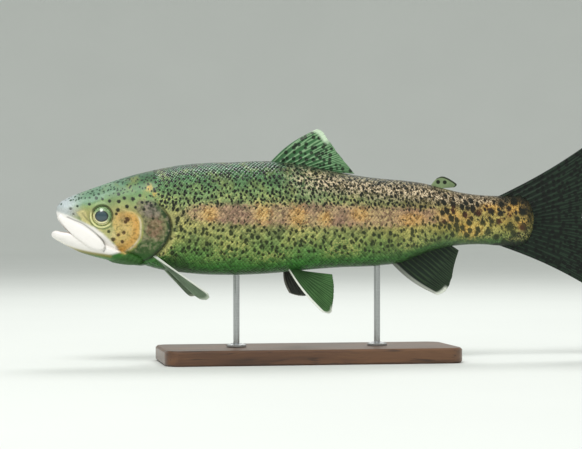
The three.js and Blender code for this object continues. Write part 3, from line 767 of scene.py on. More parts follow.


# %% [markdown]
# ## The body's masks
#
# Behind the head a few long zones are enough: the rosy band with patches of gold in it, the rusty
# back towards the tail with its painted glints, and painted shade at the root of the tail fin, with
# its ragged front.
# The spots have masks too, which say how large the spots are at a place: small on the back,
# bold on the flank, and large near the tail.

# %% Masks of the body and of the spots
def body_masks(x, z, rise, trunk):
    band_height = smooth_through(BAND_PLACES, BAND_HEIGHT, x)
    band_half = smooth_through(BAND_PLACES, BAND_HALF, x)
    band = np.exp(-np.abs((z - band_height) / band_half) ** 3) * smoothstep(-132, -112, x)
    amber = np.max([patch(x, z, *place) for place in AMBER], axis=0)
    ragged = 2 * np.sin(1.5 * z) + 1.5 * np.sin(0.7 * z)
    clouds = np.clip(np.sin(x / 9.5 + 1.2) * np.cos(z / 7 - x / 40) + 0.5, 0, 1)
    tail = smoothstep(40, 110, x)
    stalk = smoothstep(62, 98, x)
    back = smoothstep(0.08, 0.34, rise)
    lower = smoothstep(-0.86, -0.62, rise)
    bare = smoothstep(-150, -156, x) * smoothstep(0.66, 0.5, rise)
    bold = (0.3 + 0.06 * tail) * smoothstep(0.5, 0.2, rise - 0.35 * tail) * lower * (1 - 0.55 * stalk)
    large = 0.43 * stalk * lower * smoothstep(0.95, 0.75, rise)
    return {
        "rear": smoothstep(-20, 110, x),
        "band": band * smoothstep(125, 55, x),
        "amber": amber * (0.6 + 0.4 * smoothstep(-140, -120, x)),
        # where painted highlights fleck the flank
        "flank_glints": clouds * lower * trunk * smoothstep(0.6, 0.3, rise),
        "russet": smoothstep(-42, 0, x) * ridge(rise - 0.72, 0.26),
        "sparkle": smoothstep(-52, -25, x) * smoothstep(150, 120, x) * ridge(rise - 0.7, 0.24),
        "rust": np.max([patch(x, z, *place, place[2]) for place in RUST], axis=0),
        # painted shade where the tail fin begins, darkest at its top and bottom corners
        "root": smoothstep(-4, 4, x - 159 + (z - 112) ** 2 / 14 + ragged),
        "fine": 0.335 * back * (0.75 + 0.25 * trunk) * (1 - bare) * (1 - 0.8 * stalk),
        "bold": bold * (1 - 0.6 * band * (1 - tail)) * trunk,
        "large": large * (1 - 0.5 * smoothstep(112, 122, x)),
    }


def spot_distance(x, z, spots, farthest):
    """Distance to the nearest spot in side view, as a share of that spot's radius."""
    near = np.full(len(x), farthest)
    for at_x, at_z, wide in spots:
        near = np.minimum(near, np.hypot(x - at_x, z - at_z) / wide)
    return near


def markings(points):
    """Every mask for any points on the fish, and the points' places on the flattened hide."""
    x, y, z = points.T
    rise, hide = place_on_hide(points)
    head = x < HEAD_END
    gill = np.full(len(x), FAR_OFF)
    gill[head] = gill_distance(points[head])
    masks = {"rise": rise, "painted_spot": spot_distance(x, z, ROOT_SPOTS, 3.0)}
    masks["painted_spot"][head] = spot_distance(x[head], z[head], PAINTED_SPOTS, 3.0)
    for name, values in head_masks(points[head], rise[head], gill[head]).items():
        masks[name] = np.zeros(len(x))
        masks[name][head] = values
    return masks | body_masks(x, z, rise, smoothstep(-1, 2, gill)), hide


# %% [markdown]
# ## The masks on the skin
#
# The masks become attributes, which are numbers kept at each vertex. They are stored at the
# skin's even base form, and only then is the relief put in and the tail bent, so that neither
# moves the markings.

# %% Store the masks, then carve and bend the skin
def store(piece, name, values):
    """Keeps a number or a vector for each vertex, which the material can read by its name."""
    kind, key = ("FLOAT", "value") if values.ndim == 1 else ("FLOAT_VECTOR", "vector")
    layer = piece.data.attributes.new(name, kind, "POINT")
    layer.data.foreach_set(key, values.astype(np.float32).ravel())


def paint(piece, points, tone):
    """Stores every mask, the place on the hide and a tone for each scale on the vertices."""
    masks, hide = markings(points)
    for name, values in (masks | {"tone": tone, "hide": hide}).items():
        store(piece, name, values)
    return masks


def finish_piece(piece, material, slot, *nodes):
    """Gives a piece its material and its body, and hides the nodes it stands for. Its slot is not used."""
    piece.data.materials.clear()
    piece.data.materials.append(material)
    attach(piece, "root")
    if nodes:
        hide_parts(*nodes)


masks = paint(skin, skin_base, np.full(len(skin_base), 0.5))
place_points(skin, bent(carved))
print(len(masks), "masks on the skin, which has", len(skin_base), "vertices")

# %% [markdown]
# ## The finish of wet fish skin
#
# Fish skin is a clear, wet layer over pigment and over tiny mirror-like plates. So the material
# is a soft gloss with a clear coat and a little metal in it. Its colour is built up in layers as
# an airbrush painter would: a ground from belly to back, washes through the masks, spots, and
# flecks of light. An image texture could hold the same, but it would blur in a close view.

# %% Helpers for materials
FACTOR, FIRST, SECOND, MIXED = 0, 6, 7, 2  # a colour Mix node's sockets
COLOUR = {"data_type": "RGBA"}  # what such a node mixes
PLAIN_FIRST, PLAIN_SECOND = 2, 3  # the sockets of a Mix node that mixes plain numbers
TO_MM = 1000.0  # Object coordinates are in metres


def linear(code):
    """An sRGB hex colour as the linear values that a shader reads."""
    parts = [int(code[k : k + 2], 16) / 255 for k in (1, 3, 5)]
    return [c / 12.92 if c <= 0.04045 else ((c + 0.055) / 1.055) ** 2.4 for c in parts] + [1]


def add(tree, kind, sockets=None, output=0, **settings):
    """Adds a node with its settings, fills or links its inputs, and returns one output.

    Inputs and outputs are called by name or, where a node has several of one name, by number.
    """
    made = tree.nodes.new("ShaderNode" + kind)
    for name, value in settings.items():
        setattr(made, name, value)
    for name, value in (sockets or {}).items():
        if isinstance(value, bpy.types.NodeSocket):
            tree.links.new(value, made.inputs[name])
        else:
            made.inputs[name].default_value = value
    return made.outputs[output] if made.outputs else made


def new_material(name):
    material = bpy.data.materials.new(name)
    material.use_nodes = True
    material.node_tree.nodes.clear()
    return material, material.node_tree


def colour_ramp(ramp, stops):
    """Fills a Color Ramp node with (place, hex colour) stops."""
    elements = ramp.node.color_ramp.elements
    elements[0].position, elements[0].color = stops[0][0], linear(stops[0][1])
    elements[1].position, elements[1].color = stops[-1][0], linear(stops[-1][1])
    for place, code in stops[1:-1]:
        elements.new(place).color = linear(code)
    return ramp


# %% [markdown]
# ## Ground colour and washes
#
# Two ramps give the ground, one for the front of the fish and a more golden one for the rear.
# Each wash is a colour laid through its mask, in the order in which a painter would lay them.
# Noise makes the washes thin in places and their edges ragged, as living colour is. All noise
# reads the place in millimetres, so a scale of 0.3 gives clouds of about three millimetres.

# %% Colours of the ground and of each wash
# The dark green at the belly end of both ramps is painted shade, with a green cast, under the body
FRONT_HIDE = [
    (0.0, "#20521c"), (0.08, "#438038"), (0.2, "#68914b"), (0.36, "#93a05f"), (0.46, "#9c9a62"),
    (0.55, "#a09e68"), (0.66, "#88a068"), (0.78, "#678b5a"), (0.9, "#456f47"), (1.0, "#345743"),
]
REAR_HIDE = [
    (0.0, "#2c4624"), (0.1, "#486a37"), (0.24, "#7a8445"), (0.38, "#a6954a"), (0.5, "#bb9c50"),
    (0.62, "#a98f4e"), (0.72, "#7f6a47"), (0.9, "#544530"), (0.96, "#242a1d"), (1.0, "#181d16"),
]
WASHES = [
    # mask, colour, strength
    ("russet", "#5c472c", 0.8),
    ("band", "#a0776a", 0.8),
    ("amber", "#d0983e", 0.62),
    ("rust", "#875c33", 0.7),
    ("crown", "#76977e", 0.85),
    ("snout", "#bfc6cb", 0.85),
    ("cover", "#6c6a50", 0.9),
    ("mauve", "#7b6f6c", 0.7),
    ("rosy", "#87604a", 0.7),
    # painted shade under the head, dark green
    ("throat", "#347428", 0.9),
    # painted shade on the lower gill cover and along its free edge
    ("cover_shade", "#29541c", 0.9),
    # painted shade along the gill cover's free edge
    ("gill_rim", "#182418", 0.85),
    ("temple", "#bdb070", 0.6),
    ("cheek", "#dfbf76", 0.92),
    ("ember", "#d3953f", 0.68),
    ("smoke", "#8d7a55", 0.6),
    ("cream", "#d3c78c", 0.8),
    ("jaws", "#f4efeb", 0.97),
    # painted highlight on the preopercle's raised ridge
    ("bone_rim", "#ece2c4", 0.82),
    ("chin", "#9a8c40", 0.75),
    ("tan", "#a59a63", 0.7),
    # painted shadow above the pectoral fin's base
    ("axil", "#2f4a28", 0.55),
    # painted shade where the tail fin begins
    ("root", "#151c13", 1.0),
    # painted highlight on the lower front rim of the eye
    ("lid", "#f3f0ae", 0.9),
    # dark skin and painted shade in the eye's socket crease
    ("socket", "#1d200e", 0.95),
    # painted shade in the grooves and nostril pits
    ("lines", "#2b2c20", 0.75),
    ("mouth", "#b8a294", 0.9),
]
PATCHY = [
    "band", "amber", "cover", "rosy", "cover_shade", "cheek", "cream", "crown", "rust", "root",
    "throat", "tan", "mauve", "axil",
]
CLOUDS = [
    # level of noise where a cloud starts, level where it is full, colour, strength
    (0.5, 0.68, "#a59f55", 0.35),
    (0.5, 0.34, "#44623f", 0.4),
]
MARBLING = [(0.5, 0.62, "#2f3a1e", 0.75), (0.48, 0.36, "#b3a688", 0.4)]
print(len(WASHES), "washes over the ground, of which", len(PATCHY), "are patchy")


# %% Mix the ground and the washes
def washed(tree, mask, flesh):
    """The ground colour from belly to back, with the washes over it and the mottling in it."""
    height = add(tree, "MapRange", {"Value": mask["rise"], "From Min": -1.0})
    front = colour_ramp(add(tree, "ValToRGB", {"Fac": height}), FRONT_HIDE)
    rear = colour_ramp(add(tree, "ValToRGB", {"Fac": height}), REAR_HIDE)
    colour = add(tree, "Mix", {FACTOR: mask["rear"], FIRST: front, SECOND: rear}, MIXED, **COLOUR)

    # Clouds a centimetre or two wide, because no two patches of skin are quite alike
    cloud = add(tree, "TexNoise", {"Vector": flesh, "Scale": 0.09, "Detail": 3.0})
    flank = add(tree, "MapRange", {"Value": height, "From Min": 0.1, "From Max": 0.3})
    for low, high, code, most in CLOUDS:
        share = add(tree, "MapRange", {"Value": cloud, "From Min": low, "From Max": high, "To Max": most})
        share = add(tree, "Math", {0: share, 1: flank}, operation="MULTIPLY")
        colour = add(tree, "Mix", {FACTOR: share, FIRST: colour, SECOND: linear(code)}, MIXED, **COLOUR)

    # Each wash is thin in places, and the patchy ones end in a ragged edge
    blotch = add(tree, "TexNoise", {"Vector": flesh, "Scale": 0.3, "Detail": 4.0, "Roughness": 0.65})
    patchy = add(tree, "MapRange", {"Value": blotch, "From Min": 0.3, "From Max": 0.6, "To Min": 0.6})
    edge_low = add(tree, "MapRange", {"Value": blotch, "From Min": 0.7, "From Max": 0.3, "To Max": 0.5})
    edge_high = add(tree, "Math", {0: edge_low, 1: 0.5}, operation="ADD")
    for key, code, strength in WASHES:
        share = mask[key]
        if key in PATCHY:
            share = add(tree, "MapRange", {"Value": share, "From Min": edge_low, "From Max": edge_high})
            share = add(tree, "Math", {0: share, 1: patchy}, operation="MULTIPLY")
        share = add(tree, "Math", {0: share, 1: strength}, operation="MULTIPLY")
        colour = add(tree, "Mix", {FACTOR: share, FIRST: colour, SECOND: linear(code)}, MIXED, **COLOUR)

    # Gill cover and cheek are marbled, dark and pale, in marks of two or three millimetres
    marble = add(tree, "TexNoise", {"Vector": flesh, "Scale": 0.34, "Detail": 3.5, "Roughness": 0.62})
    for low, high, code, most in MARBLING:
        share = add(tree, "MapRange", {"Value": marble, "From Min": low, "From Max": high, "To Max": most})
        share = add(tree, "Math", {0: share, 1: mask["mottle"]}, operation="MULTIPLY")
        colour = add(tree, "Mix", {FACTOR: share, FIRST: colour, SECOND: linear(code)}, MIXED, **COLOUR)

    # Single scales and flecks of skin are a little lighter or darker than the next
    fleck = add(tree, "TexNoise", {"Vector": flesh, "Scale": 0.9, "Detail": 3.0, "Roughness": 0.7})
    grain = add(tree, "Math", {0: fleck, 1: mask["tone"]}, operation="ADD")
    grain = add(tree, "MapRange", {
        "Value": grain, "From Min": 0.5, "From Max": 1.5, "To Min": 0.6, "To Max": 1.42,
    })
    grain = add(tree, "Mix", {FACTOR: mask["jaws"], PLAIN_FIRST: grain, PLAIN_SECOND: 1.06})
    return add(tree, "VectorMath", {0: colour, "Scale": grain}, operation="SCALE")


# %% [markdown]
# ## Spots
#
# Trout spots are rounded and never touch in a regular way, which is what Voronoi cells give: each
# cell has one point, and a spot is what lies near it. Three sizes lie over each other, each with
# its own spacing. The cells are drawn on the flattened hide, so the spots keep their shape round
# the body, and a little noise makes their edges ragged.

# %% Three sizes of spots
SPOT_SETS = [
    # mask, spacing in mm, turn of the pattern
    ("fine", 3.3, 0.5),
    ("bold", 4.8, 0.2),
    ("large", 6.1, 0.9),
]


def spotted(tree, mask, hide):
    """Where there are spots: rounded patches of dark cells, small on the back, large at the tail."""
    drift = add(tree, "TexNoise", {"Vector": hide, "Scale": 0.3, "Detail": 1.0}, "Color")
    moved = add(tree, "VectorMath", {0: drift, 1: (3.0, 3.0, 0.0), 2: hide}, operation="MULTIPLY_ADD")
    ragged = add(tree, "TexNoise", {"Vector": hide, "Scale": 1.1, "Detail": 1.0})
    painted = add(tree, "Math", {0: mask["painted_spot"], 1: ragged}, operation="ADD")
    spots = add(tree, "MapRange", {"Value": painted, "From Min": 1.7, "From Max": 1.2})
    for key, spacing, turn in SPOT_SETS:
        place = add(tree, "Mapping", {
            0: moved, "Rotation": (0, 0, turn), "Scale": (1.12, 0.86, 1.0),
        })
        cell = add(tree, "TexVoronoi", {
            "Vector": place, "Scale": 1 / spacing, "Randomness": 0.8,
        }, voronoi_dimensions="2D")
        chance = add(tree, "SeparateColor", {0: cell.node.outputs["Color"]})
        size = add(tree, "MapRange", {"Value": chance, "To Min": 0.66, "To Max": 1.22})
        size = add(tree, "Math", {0: size, 1: mask[key]}, operation="MULTIPLY")
        edge = add(tree, "MapRange", {"Value": ragged, "To Min": -0.11, "To Max": 0.11})
        inside = add(tree, "Math", {0: size, 1: cell}, operation="SUBTRACT")
        inside = add(tree, "Math", {0: inside, 1: edge}, operation="ADD")
        inside = add(tree, "MapRange", {"Value": inside, "From Min": -0.07, "From Max": 0.07})
        present = add(tree, "MapRange", {"Value": mask[key], "From Min": 0.04, "From Max": 0.14})
        inside = add(tree, "Math", {0: inside, 1: present}, operation="MULTIPLY")
        spots = add(tree, "Math", {0: spots, 1: inside}, operation="MAXIMUM")
    return spots


# %% [markdown]
# ## Flecks of light, and the whole material
#
# Small crystals in the skin flash gold or cream, in flecks about a millimetre wide. They are
# painted highlights: bright colour where a fine noise is high, between the washes and the spots.
# Skin and scales get the same material, but for gloss and bump: the scales are smoother and
# wetter.

# %% Flecks, pigment and the wet skin
GLINTS = [
    # mask, colour, strength, and the level of glitter from which flecks catch the light
    ("sparkle", "#fde6c2", 1.0, 0.6),
    ("amber", "#fccb6c", 1.0, 0.575),
    ("flank_glints", "#dbd27e", 0.65, 0.6),
    ("band", "#d6b092", 0.5, 0.6),
]
PIGMENTS = [
    # mask, colour that the spots take on there
    ("crown", "#2c4633"),
    ("cheek", "#43290f"),
    ("rust", "#4a2412"),
]


def hide_material(name, rough, coat, bump):
    """Wet trout skin. The scales and the skin under them differ in gloss and in bump alone."""
    material, tree = new_material(name)
    keys = [w[0] for w in WASHES] + [p[0] for p in SPOT_SETS]
    keys += ["rise", "rear", "tone", "sparkle", "flank_glints", "painted_spot", "mottle"]
    mask = {key: add(tree, "Attribute", output="Fac", attribute_name=key) for key in keys}
    hide = add(tree, "Attribute", output="Vector", attribute_name="hide")
    place = add(tree, "TexCoord", output="Object")
    flesh = add(tree, "VectorMath", {0: place, "Scale": TO_MM}, operation="SCALE")
    colour = washed(tree, mask, flesh)

    glitter = add(tree, "TexNoise", {"Vector": flesh, "Scale": 1.25, "Detail": 2.0, "Roughness": 0.7})
    glitter = add(tree, "Math", {0: mask["tone"], 1: 0.16, 2: glitter}, operation="MULTIPLY_ADD")
    for key, code, most, level in GLINTS:
        bright = add(tree, "MapRange", {
            "Value": glitter, "From Min": level, "From Max": level + 0.03, "To Max": most,
        })
        bright = add(tree, "Math", {0: bright, 1: mask[key]}, operation="MULTIPLY")
        colour = add(tree, "Mix", {FACTOR: bright, FIRST: colour, SECOND: linear(code)}, MIXED, **COLOUR)

    # Spots are near black on the back and dark green low on the flank
    spots = spotted(tree, mask, hide)
    pigment = add(tree, "MapRange", {"Value": mask["rise"], "From Min": -0.3, "From Max": 0.3})
    pigment = add(tree, "Mix", {
        FACTOR: pigment, FIRST: linear("#222e14"), SECOND: linear("#11170e"),
    }, MIXED, **COLOUR)
    for key, code in PIGMENTS:
        pigment = add(tree, "Mix", {
            FACTOR: mask[key], FIRST: pigment, SECOND: linear(code),
        }, MIXED, **COLOUR)
    shade = add(tree, "MapRange", {
        "Value": mask["rise"], "From Min": -0.4, "From Max": 0.3, "To Min": 0.9, "To Max": 0.98,
    })
    shade = add(tree, "Math", {0: spots, 1: shade}, operation="MULTIPLY")
    colour = add(tree, "Mix", {FACTOR: shade, FIRST: colour, SECOND: pigment}, MIXED, **COLOUR)

    pores = add(tree, "TexNoise", {"Vector": flesh, "Scale": 1.6, "Detail": 3.0})
    gloss = add(tree, "MapRange", {"Value": pores, "To Min": rough - 0.08, "To Max": rough + 0.1})
    relief = add(tree, "Bump", {"Height": pores, "Strength": bump, "Distance": 0.0004})
    shader = add(tree, "BsdfPrincipled", {
        "Base Color": colour, "Roughness": gloss, "Normal": relief, "Metallic": 0.1,
        "IOR": 1.36, "Coat Weight": coat, "Coat Roughness": 0.16, "Coat IOR": 1.33,
    })
    add(tree, "OutputMaterial", {"Surface": shader})
    return material


wet_skin = hide_material("wet trout skin", 0.5, 0.25, 0.3)
scale_skin = hide_material("wet trout scales", 0.38, 0.35, 0.1)
print("skin material:", len(wet_skin.node_tree.nodes), "nodes")

FLESH = [
    "head", "lower_jaw", "maxilla_left", "maxilla_right", "gill_cover_left", "gill_cover_right",
    "trunk", "tail_stalk",
]
finish_piece(skin, wet_skin, "skin", *FLESH)
activate(skin)
bpy.ops.object.shade_smooth()

# %% [markdown]
# ## Eyes
#
# A taxidermist's fish eye is a glass dome painted from behind: a dark pupil and an iris of green
# and cream. Each eye here is a closed globe seated deep in its socket, with a shallow groove
# where the iris meets the pupil. Its paint follows its own two coordinates, measured from the
# axis, and a clear coat gives the wet glint.

# %% The globe and the iris's coordinates
PUPIL_OFFSET = (0.3, -0.2)  # forward and up from the globe's axis


def globe_point(share, angle, side):
    height = -EYE["half_depth"] * np.cos(math.pi * share)
    radius = EYE["radius"] * np.sin(math.pi * share)
    forward = radius * np.cos(angle) - PUPIL_OFFSET[0]
    up = radius * np.sin(angle) - PUPIL_OFFSET[1]
    from_pupil = np.hypot(forward, up * 1.12)
    dent = 0.16 * ridge(from_pupil - 5.2, 0.5) + 0.1 * ridge(radius - 7.0, 0.35)
    return eye_point(side, radius, angle, height - dent * (height > 0))


glass, tree = new_material("painted glass eye")
iris = add(tree, "Attribute", output="Vector", attribute_name="iris")
parts = add(tree, "SeparateXYZ", {0: iris})
forward, up = parts.node.outputs["X"], parts.node.outputs["Y"]
pupil_x = add(tree, "Math", {0: forward, 1: PUPIL_OFFSET[0]}, operation="SUBTRACT")
pupil_y = add(tree, "Math", {0: up, 1: PUPIL_OFFSET[1]}, operation="SUBTRACT")
flat = add(tree, "CombineXYZ", {"X": pupil_x, "Y": pupil_y})
squashed = add(tree, "VectorMath", {0: flat, 1: (1.0, 1.18, 0.0)}, operation="MULTIPLY")
from_pupil = add(tree, "VectorMath", {0: squashed}, "Value", operation="LENGTH")
plane = add(tree, "CombineXYZ", {"X": forward, "Y": up})
from_axis = add(tree, "VectorMath", {0: plane}, "Value", operation="LENGTH")
slope = add(tree, "Math", {0: forward, 1: -0.6, 2: up}, operation="MULTIPLY_ADD")
upper = add(tree, "MapRange", {"Value": slope, "From Min": -3.2, "From Max": 0.4})

# %% The iris: cream below, green above, fine fibres, and two dark rings, one partly painted shade
CREAM_IRIS = [(0.3, "#e0d68a"), (0.5, "#faf3b8"), (0.75, "#fffce0")]
GREEN_IRIS = [(0.3, "#56704f"), (0.5, "#84a36f"), (0.75, "#afc692")]
IRIS_RINGS = [
    # distance from the axis where a ring starts and ends, its colour, its strength below and above
    (5.95, 6.2, "#14180c", 0.9, 0.2),
    # the outer ring is the eye's dark rim, made stronger above as painted shade under the socket's rim
    (7.9, 8.3, "#1c200c", 0.35, 0.92),
]
PUPIL = [
    # distance from the pupil's middle where its colour starts and is full, colour, strength
    (5.4, 5.1, "#0d1a16", 1.0),
    # the pupil's bluish-grey middle is a painted reflection
    (4.7, 3.7, "#2d4750", 0.9),
]

# Fibres run outwards from the pupil, so the noise is stretched along the radius
around = add(tree, "Math", {0: pupil_y, 1: pupil_x}, operation="ARCTAN2")
polar = add(tree, "CombineXYZ", {"X": around, "Y": from_pupil})
stretched = add(tree, "VectorMath", {0: polar, 1: (7.0, 0.9, 0.0)}, operation="MULTIPLY")
fibre = add(tree, "TexNoise", {"Vector": stretched, "Scale": 1.0, "Detail": 3.0})
cream = colour_ramp(add(tree, "ValToRGB", {"Fac": fibre}), CREAM_IRIS)
green = colour_ramp(add(tree, "ValToRGB", {"Fac": fibre}), GREEN_IRIS)
paint_coat = add(tree, "Mix", {FACTOR: upper, FIRST: cream, SECOND: green}, MIXED, **COLOUR)
for start, end, code, below, above in IRIS_RINGS:
    off = add(tree, "Math", {0: from_axis, 1: (start + end) / 2}, operation="SUBTRACT")
    off = add(tree, "Math", {0: off}, operation="ABSOLUTE")
    half = (end - start) / 2
    share = add(tree, "MapRange", {"Value": off, "From Min": half + 0.15, "From Max": half - 0.1})
    most = add(tree, "MapRange", {"Value": upper, "To Min": below, "To Max": above})
    share = add(tree, "Math", {0: share, 1: most}, operation="MULTIPLY")
    paint_coat = add(tree, "Mix", {
        FACTOR: share, FIRST: paint_coat, SECOND: linear(code),
    }, MIXED, **COLOUR)
for start, full, code, most in PUPIL:
    share = add(tree, "MapRange", {
        "Value": from_pupil, "From Min": start, "From Max": full, "To Max": most,
    })
    paint_coat = add(tree, "Mix", {
        FACTOR: share, FIRST: paint_coat, SECOND: linear(code),
    }, MIXED, **COLOUR)
shader = add(tree, "BsdfPrincipled", {
    "Base Color": paint_coat, "Roughness": 0.3, "IOR": 1.5, "Coat Weight": 1.0,
    "Coat Roughness": 0.03,
})
add(tree, "OutputMaterial", {"Surface": shader})

for side, name in ((-1, "eye_left"), (1, "eye_right")):
    globe = lofted(
        name + "_globe", np.linspace(0, 1, 49), 72, lambda s, a, side=side: globe_point(s, a, side)
    )
    radius, height, forward, up = eye_distance(points_of(globe))
    store(globe, "iris", np.column_stack([forward, up, height]))
    bpy.ops.object.shade_smooth()
    finish_piece(globe, glass, "eye", name)
print("two globes of", len(globe.data.polygons), "faces, each", 2 * EYE["radius"], "mm wide")

# %% [markdown]
# ## Fins
#
# A fin is a thin double skin over rays that split in two, and in two again, towards the edge.
# Each fin starts as a grid, extruded in edit mode to a closed plate. Its vertices then follow
# the CAD fin's own fan of rays, and the plate is made thick on the rays and thin between them,
# with an edge that is slightly scalloped. Two Solidify modifiers couldn't make one skin do both.

# %% The fins' shapes
PAIRED = [2.2, 0.7]
FINS = {
    "dorsal_fin": {
        "base": [(-50.7, 0, 158.9), (4.5, 0, 150.2)],
        "rays": [
            (0, (36.5, 0, 26.2), 3), (0.1, (35.2, 0, 25.7), 2), (0.22, (33.8, 0, 19.6), 0.6),
            (0.5, (27.3, 0, 9.9), 0), (0.75, (19.9, 0, 4.3), 0), (1, (11.8, 0, -0.7), 0),
        ],
        "thickness": [2.6, 0.7], "count": 13, "grid": (286, 60),
    },
    "anal_fin": {
        "base": [(47.8, 0, 77.6), (97.0, 0, 91.6)],
        "rays": [
            (0, (37.4, 0, -25.8), -3), (0.12, (35.6, 0, -26.0), -2), (0.3, (31.0, 0, -24.6), 0),
            (0.5, (24.2, 0, -20.0), 0), (0.75, (14.3, 0, -11.8), 0), (1, (5.6, 0, -3.6), 0),
        ],
        "thickness": [2.4, 0.7], "count": 12, "grid": (264, 60),
    },
    "caudal_fin": {
        "base": [(133.6, 0, 131.2), (133.6, 0, 92.6)],
        "bulge": (31, 0, 0),
        "rays": [
            (0, (90.0, 0, 50.4), -2.6), (0.05, (86.5, 0, 49.6), -2.2), (0.12, (79.6, 0, 42.6), -1.6),
            (0.28, (61.2, 0, 20.2), -0.6), (0.5, (45.0, 0, 2.6), 0), (0.72, (61.2, 0, -17.4), 0.8),
            (0.88, (79.6, 0, -33.6), 1.8), (0.95, (86.5, 0, -38.6), 2.6), (1, (90.0, 0, -39.6), 3),
        ],
        "thickness": [3.0, 0.8], "count": 20, "grid": (440, 90),
    },
    "pelvic_fin_left": {
        "base": [(-38.4, -8.5, 73.6), (-30.0, -5.2, 72.4)],
        "rays": [
            (0, (24.4, -13.5, -33.8), -2.2), (0.18, (29.2, -12.5, -34.6), -1),
            (0.45, (30.4, -9.0, -26.0), 0), (0.72, (29.6, -6.0, -13.5), 0), (1, (26.6, -3.2, -3.0), 0),
        ],
        "thickness": PAIRED, "count": 10, "grid": (220, 60),
    },
    "pelvic_fin_right": {
        "base": [(-39.6, 8.5, 73.6), (-31.0, 5.2, 72.4)],
        "rays": [
            (0, (9.6, 30.0, -20.6), -2.2), (0.18, (14.6, 31.5, -22.6), -1),
            (0.45, (20.4, 26.0, -21.6), 0), (0.72, (24.6, 16.0, -14.0), 0), (1, (26.0, 6.0, -5.4), 0),
        ],
        "thickness": PAIRED, "count": 10, "grid": (220, 60),
    },
    "pectoral_fin_left": {
        "base": [(-145.8, -15.6, 84.4), (-139.8, -11.6, 79.4)],
        "rays": [
            (0, (38.4, -29.6, -28.2), 0), (0.14, (38.8, -28.4, -31.2), 0),
            (0.4, (32.2, -20.5, -31.6), 0), (0.7, (23.0, -12.0, -24.2), 0), (1, (14.6, -5.2, -14.8), 0),
        ],
        "thickness": PAIRED, "count": 13, "grid": (234, 60),
    },
    "adipose_fin": {
        "base": [(80.2, 0, 141.2), (91.0, 0, 138.4)],
        "rays": [
            (0, (3.9, 0, 5.2), 0.5), (0.3, (5.7, 0, 7.4), 0), (0.6, (9.0, 0, 5.6), 0),
            (0.85, (11.5, 0, 2.2), 0), (1, (8.0, 0, 0.6), 0),
        ],
        "thickness": [2.4, 1.0], "count": 0, "grid": (60, 30),
    },
}
HIDDEN_ROOT = 4.0  # how deep a fin is rooted in the body
TAPER = 0.7  # how soon a fin grows thin towards its edge
RIM = 0.014  # share of the fin over which its edge is rounded
REACH = 0.998  # keeps the longest rays inside the CAD fin
WEB_CUT, WEAR = 0.014, 0.01  # how far the web and the worn tips fall short of the edge
print(len(FINS), "fins, with", sum(fin["count"] for fin in FINS.values()), "rays")


# %% [markdown]
# ## A fin as one plate
#
# The grid's first direction runs along the fin's root and its second outwards, so a ray is a line
# of the grid. The plate is thick on a ray and thin on the web, and its front ray is the stoutest.

# %% Rays, middle surface and plate
def ray_ridge(u, v, count):
    """1 on a ray and 0 between rays. Each ray splits in two at mid length and again near the edge."""
    if not count:
        return np.zeros(np.broadcast(u, v).shape)
    off = np.abs((u * count) % 1 - 0.5)
    off = np.abs(off - 0.23 * smoothstep(0.34, 0.8, v))
    off = np.abs(off - 0.11 * smoothstep(0.66, 1.05, v))
    width = 0.19 - 0.05 * v - 0.05 * smoothstep(0.5, 0.9, v)
    return np.exp(-((off / width) ** 2))


def fin_middle(fin, u, v):
    """The fin's middle surface: u runs along its root and v out along its rays."""
    marks, tips, bows = zip(*fin["rays"])
    ray = np.stack([smooth_through(marks, [tip[k] for tip in tips], u) for k in range(3)], axis=-1)
    bow = smooth_through(marks, bows, u) * np.sin(math.pi * v)
    travel = v - (1 - v) * HIDDEN_ROOT / np.linalg.norm(ray, axis=-1)
    start, end = (np.array(b, dtype=float) for b in fin["base"])
    root = start + (end - start) * u[:, None]
    root = root + np.array(fin.get("bulge", (0, 0, 0))) * np.sin(math.pi * u)[:, None]
    across = np.stack([-ray[:, 2], np.zeros(len(u)), ray[:, 0]], axis=-1)
    across = across / np.linalg.norm(across, axis=-1)[:, None]
    return root + ray * travel[:, None] + across * bow[:, None]


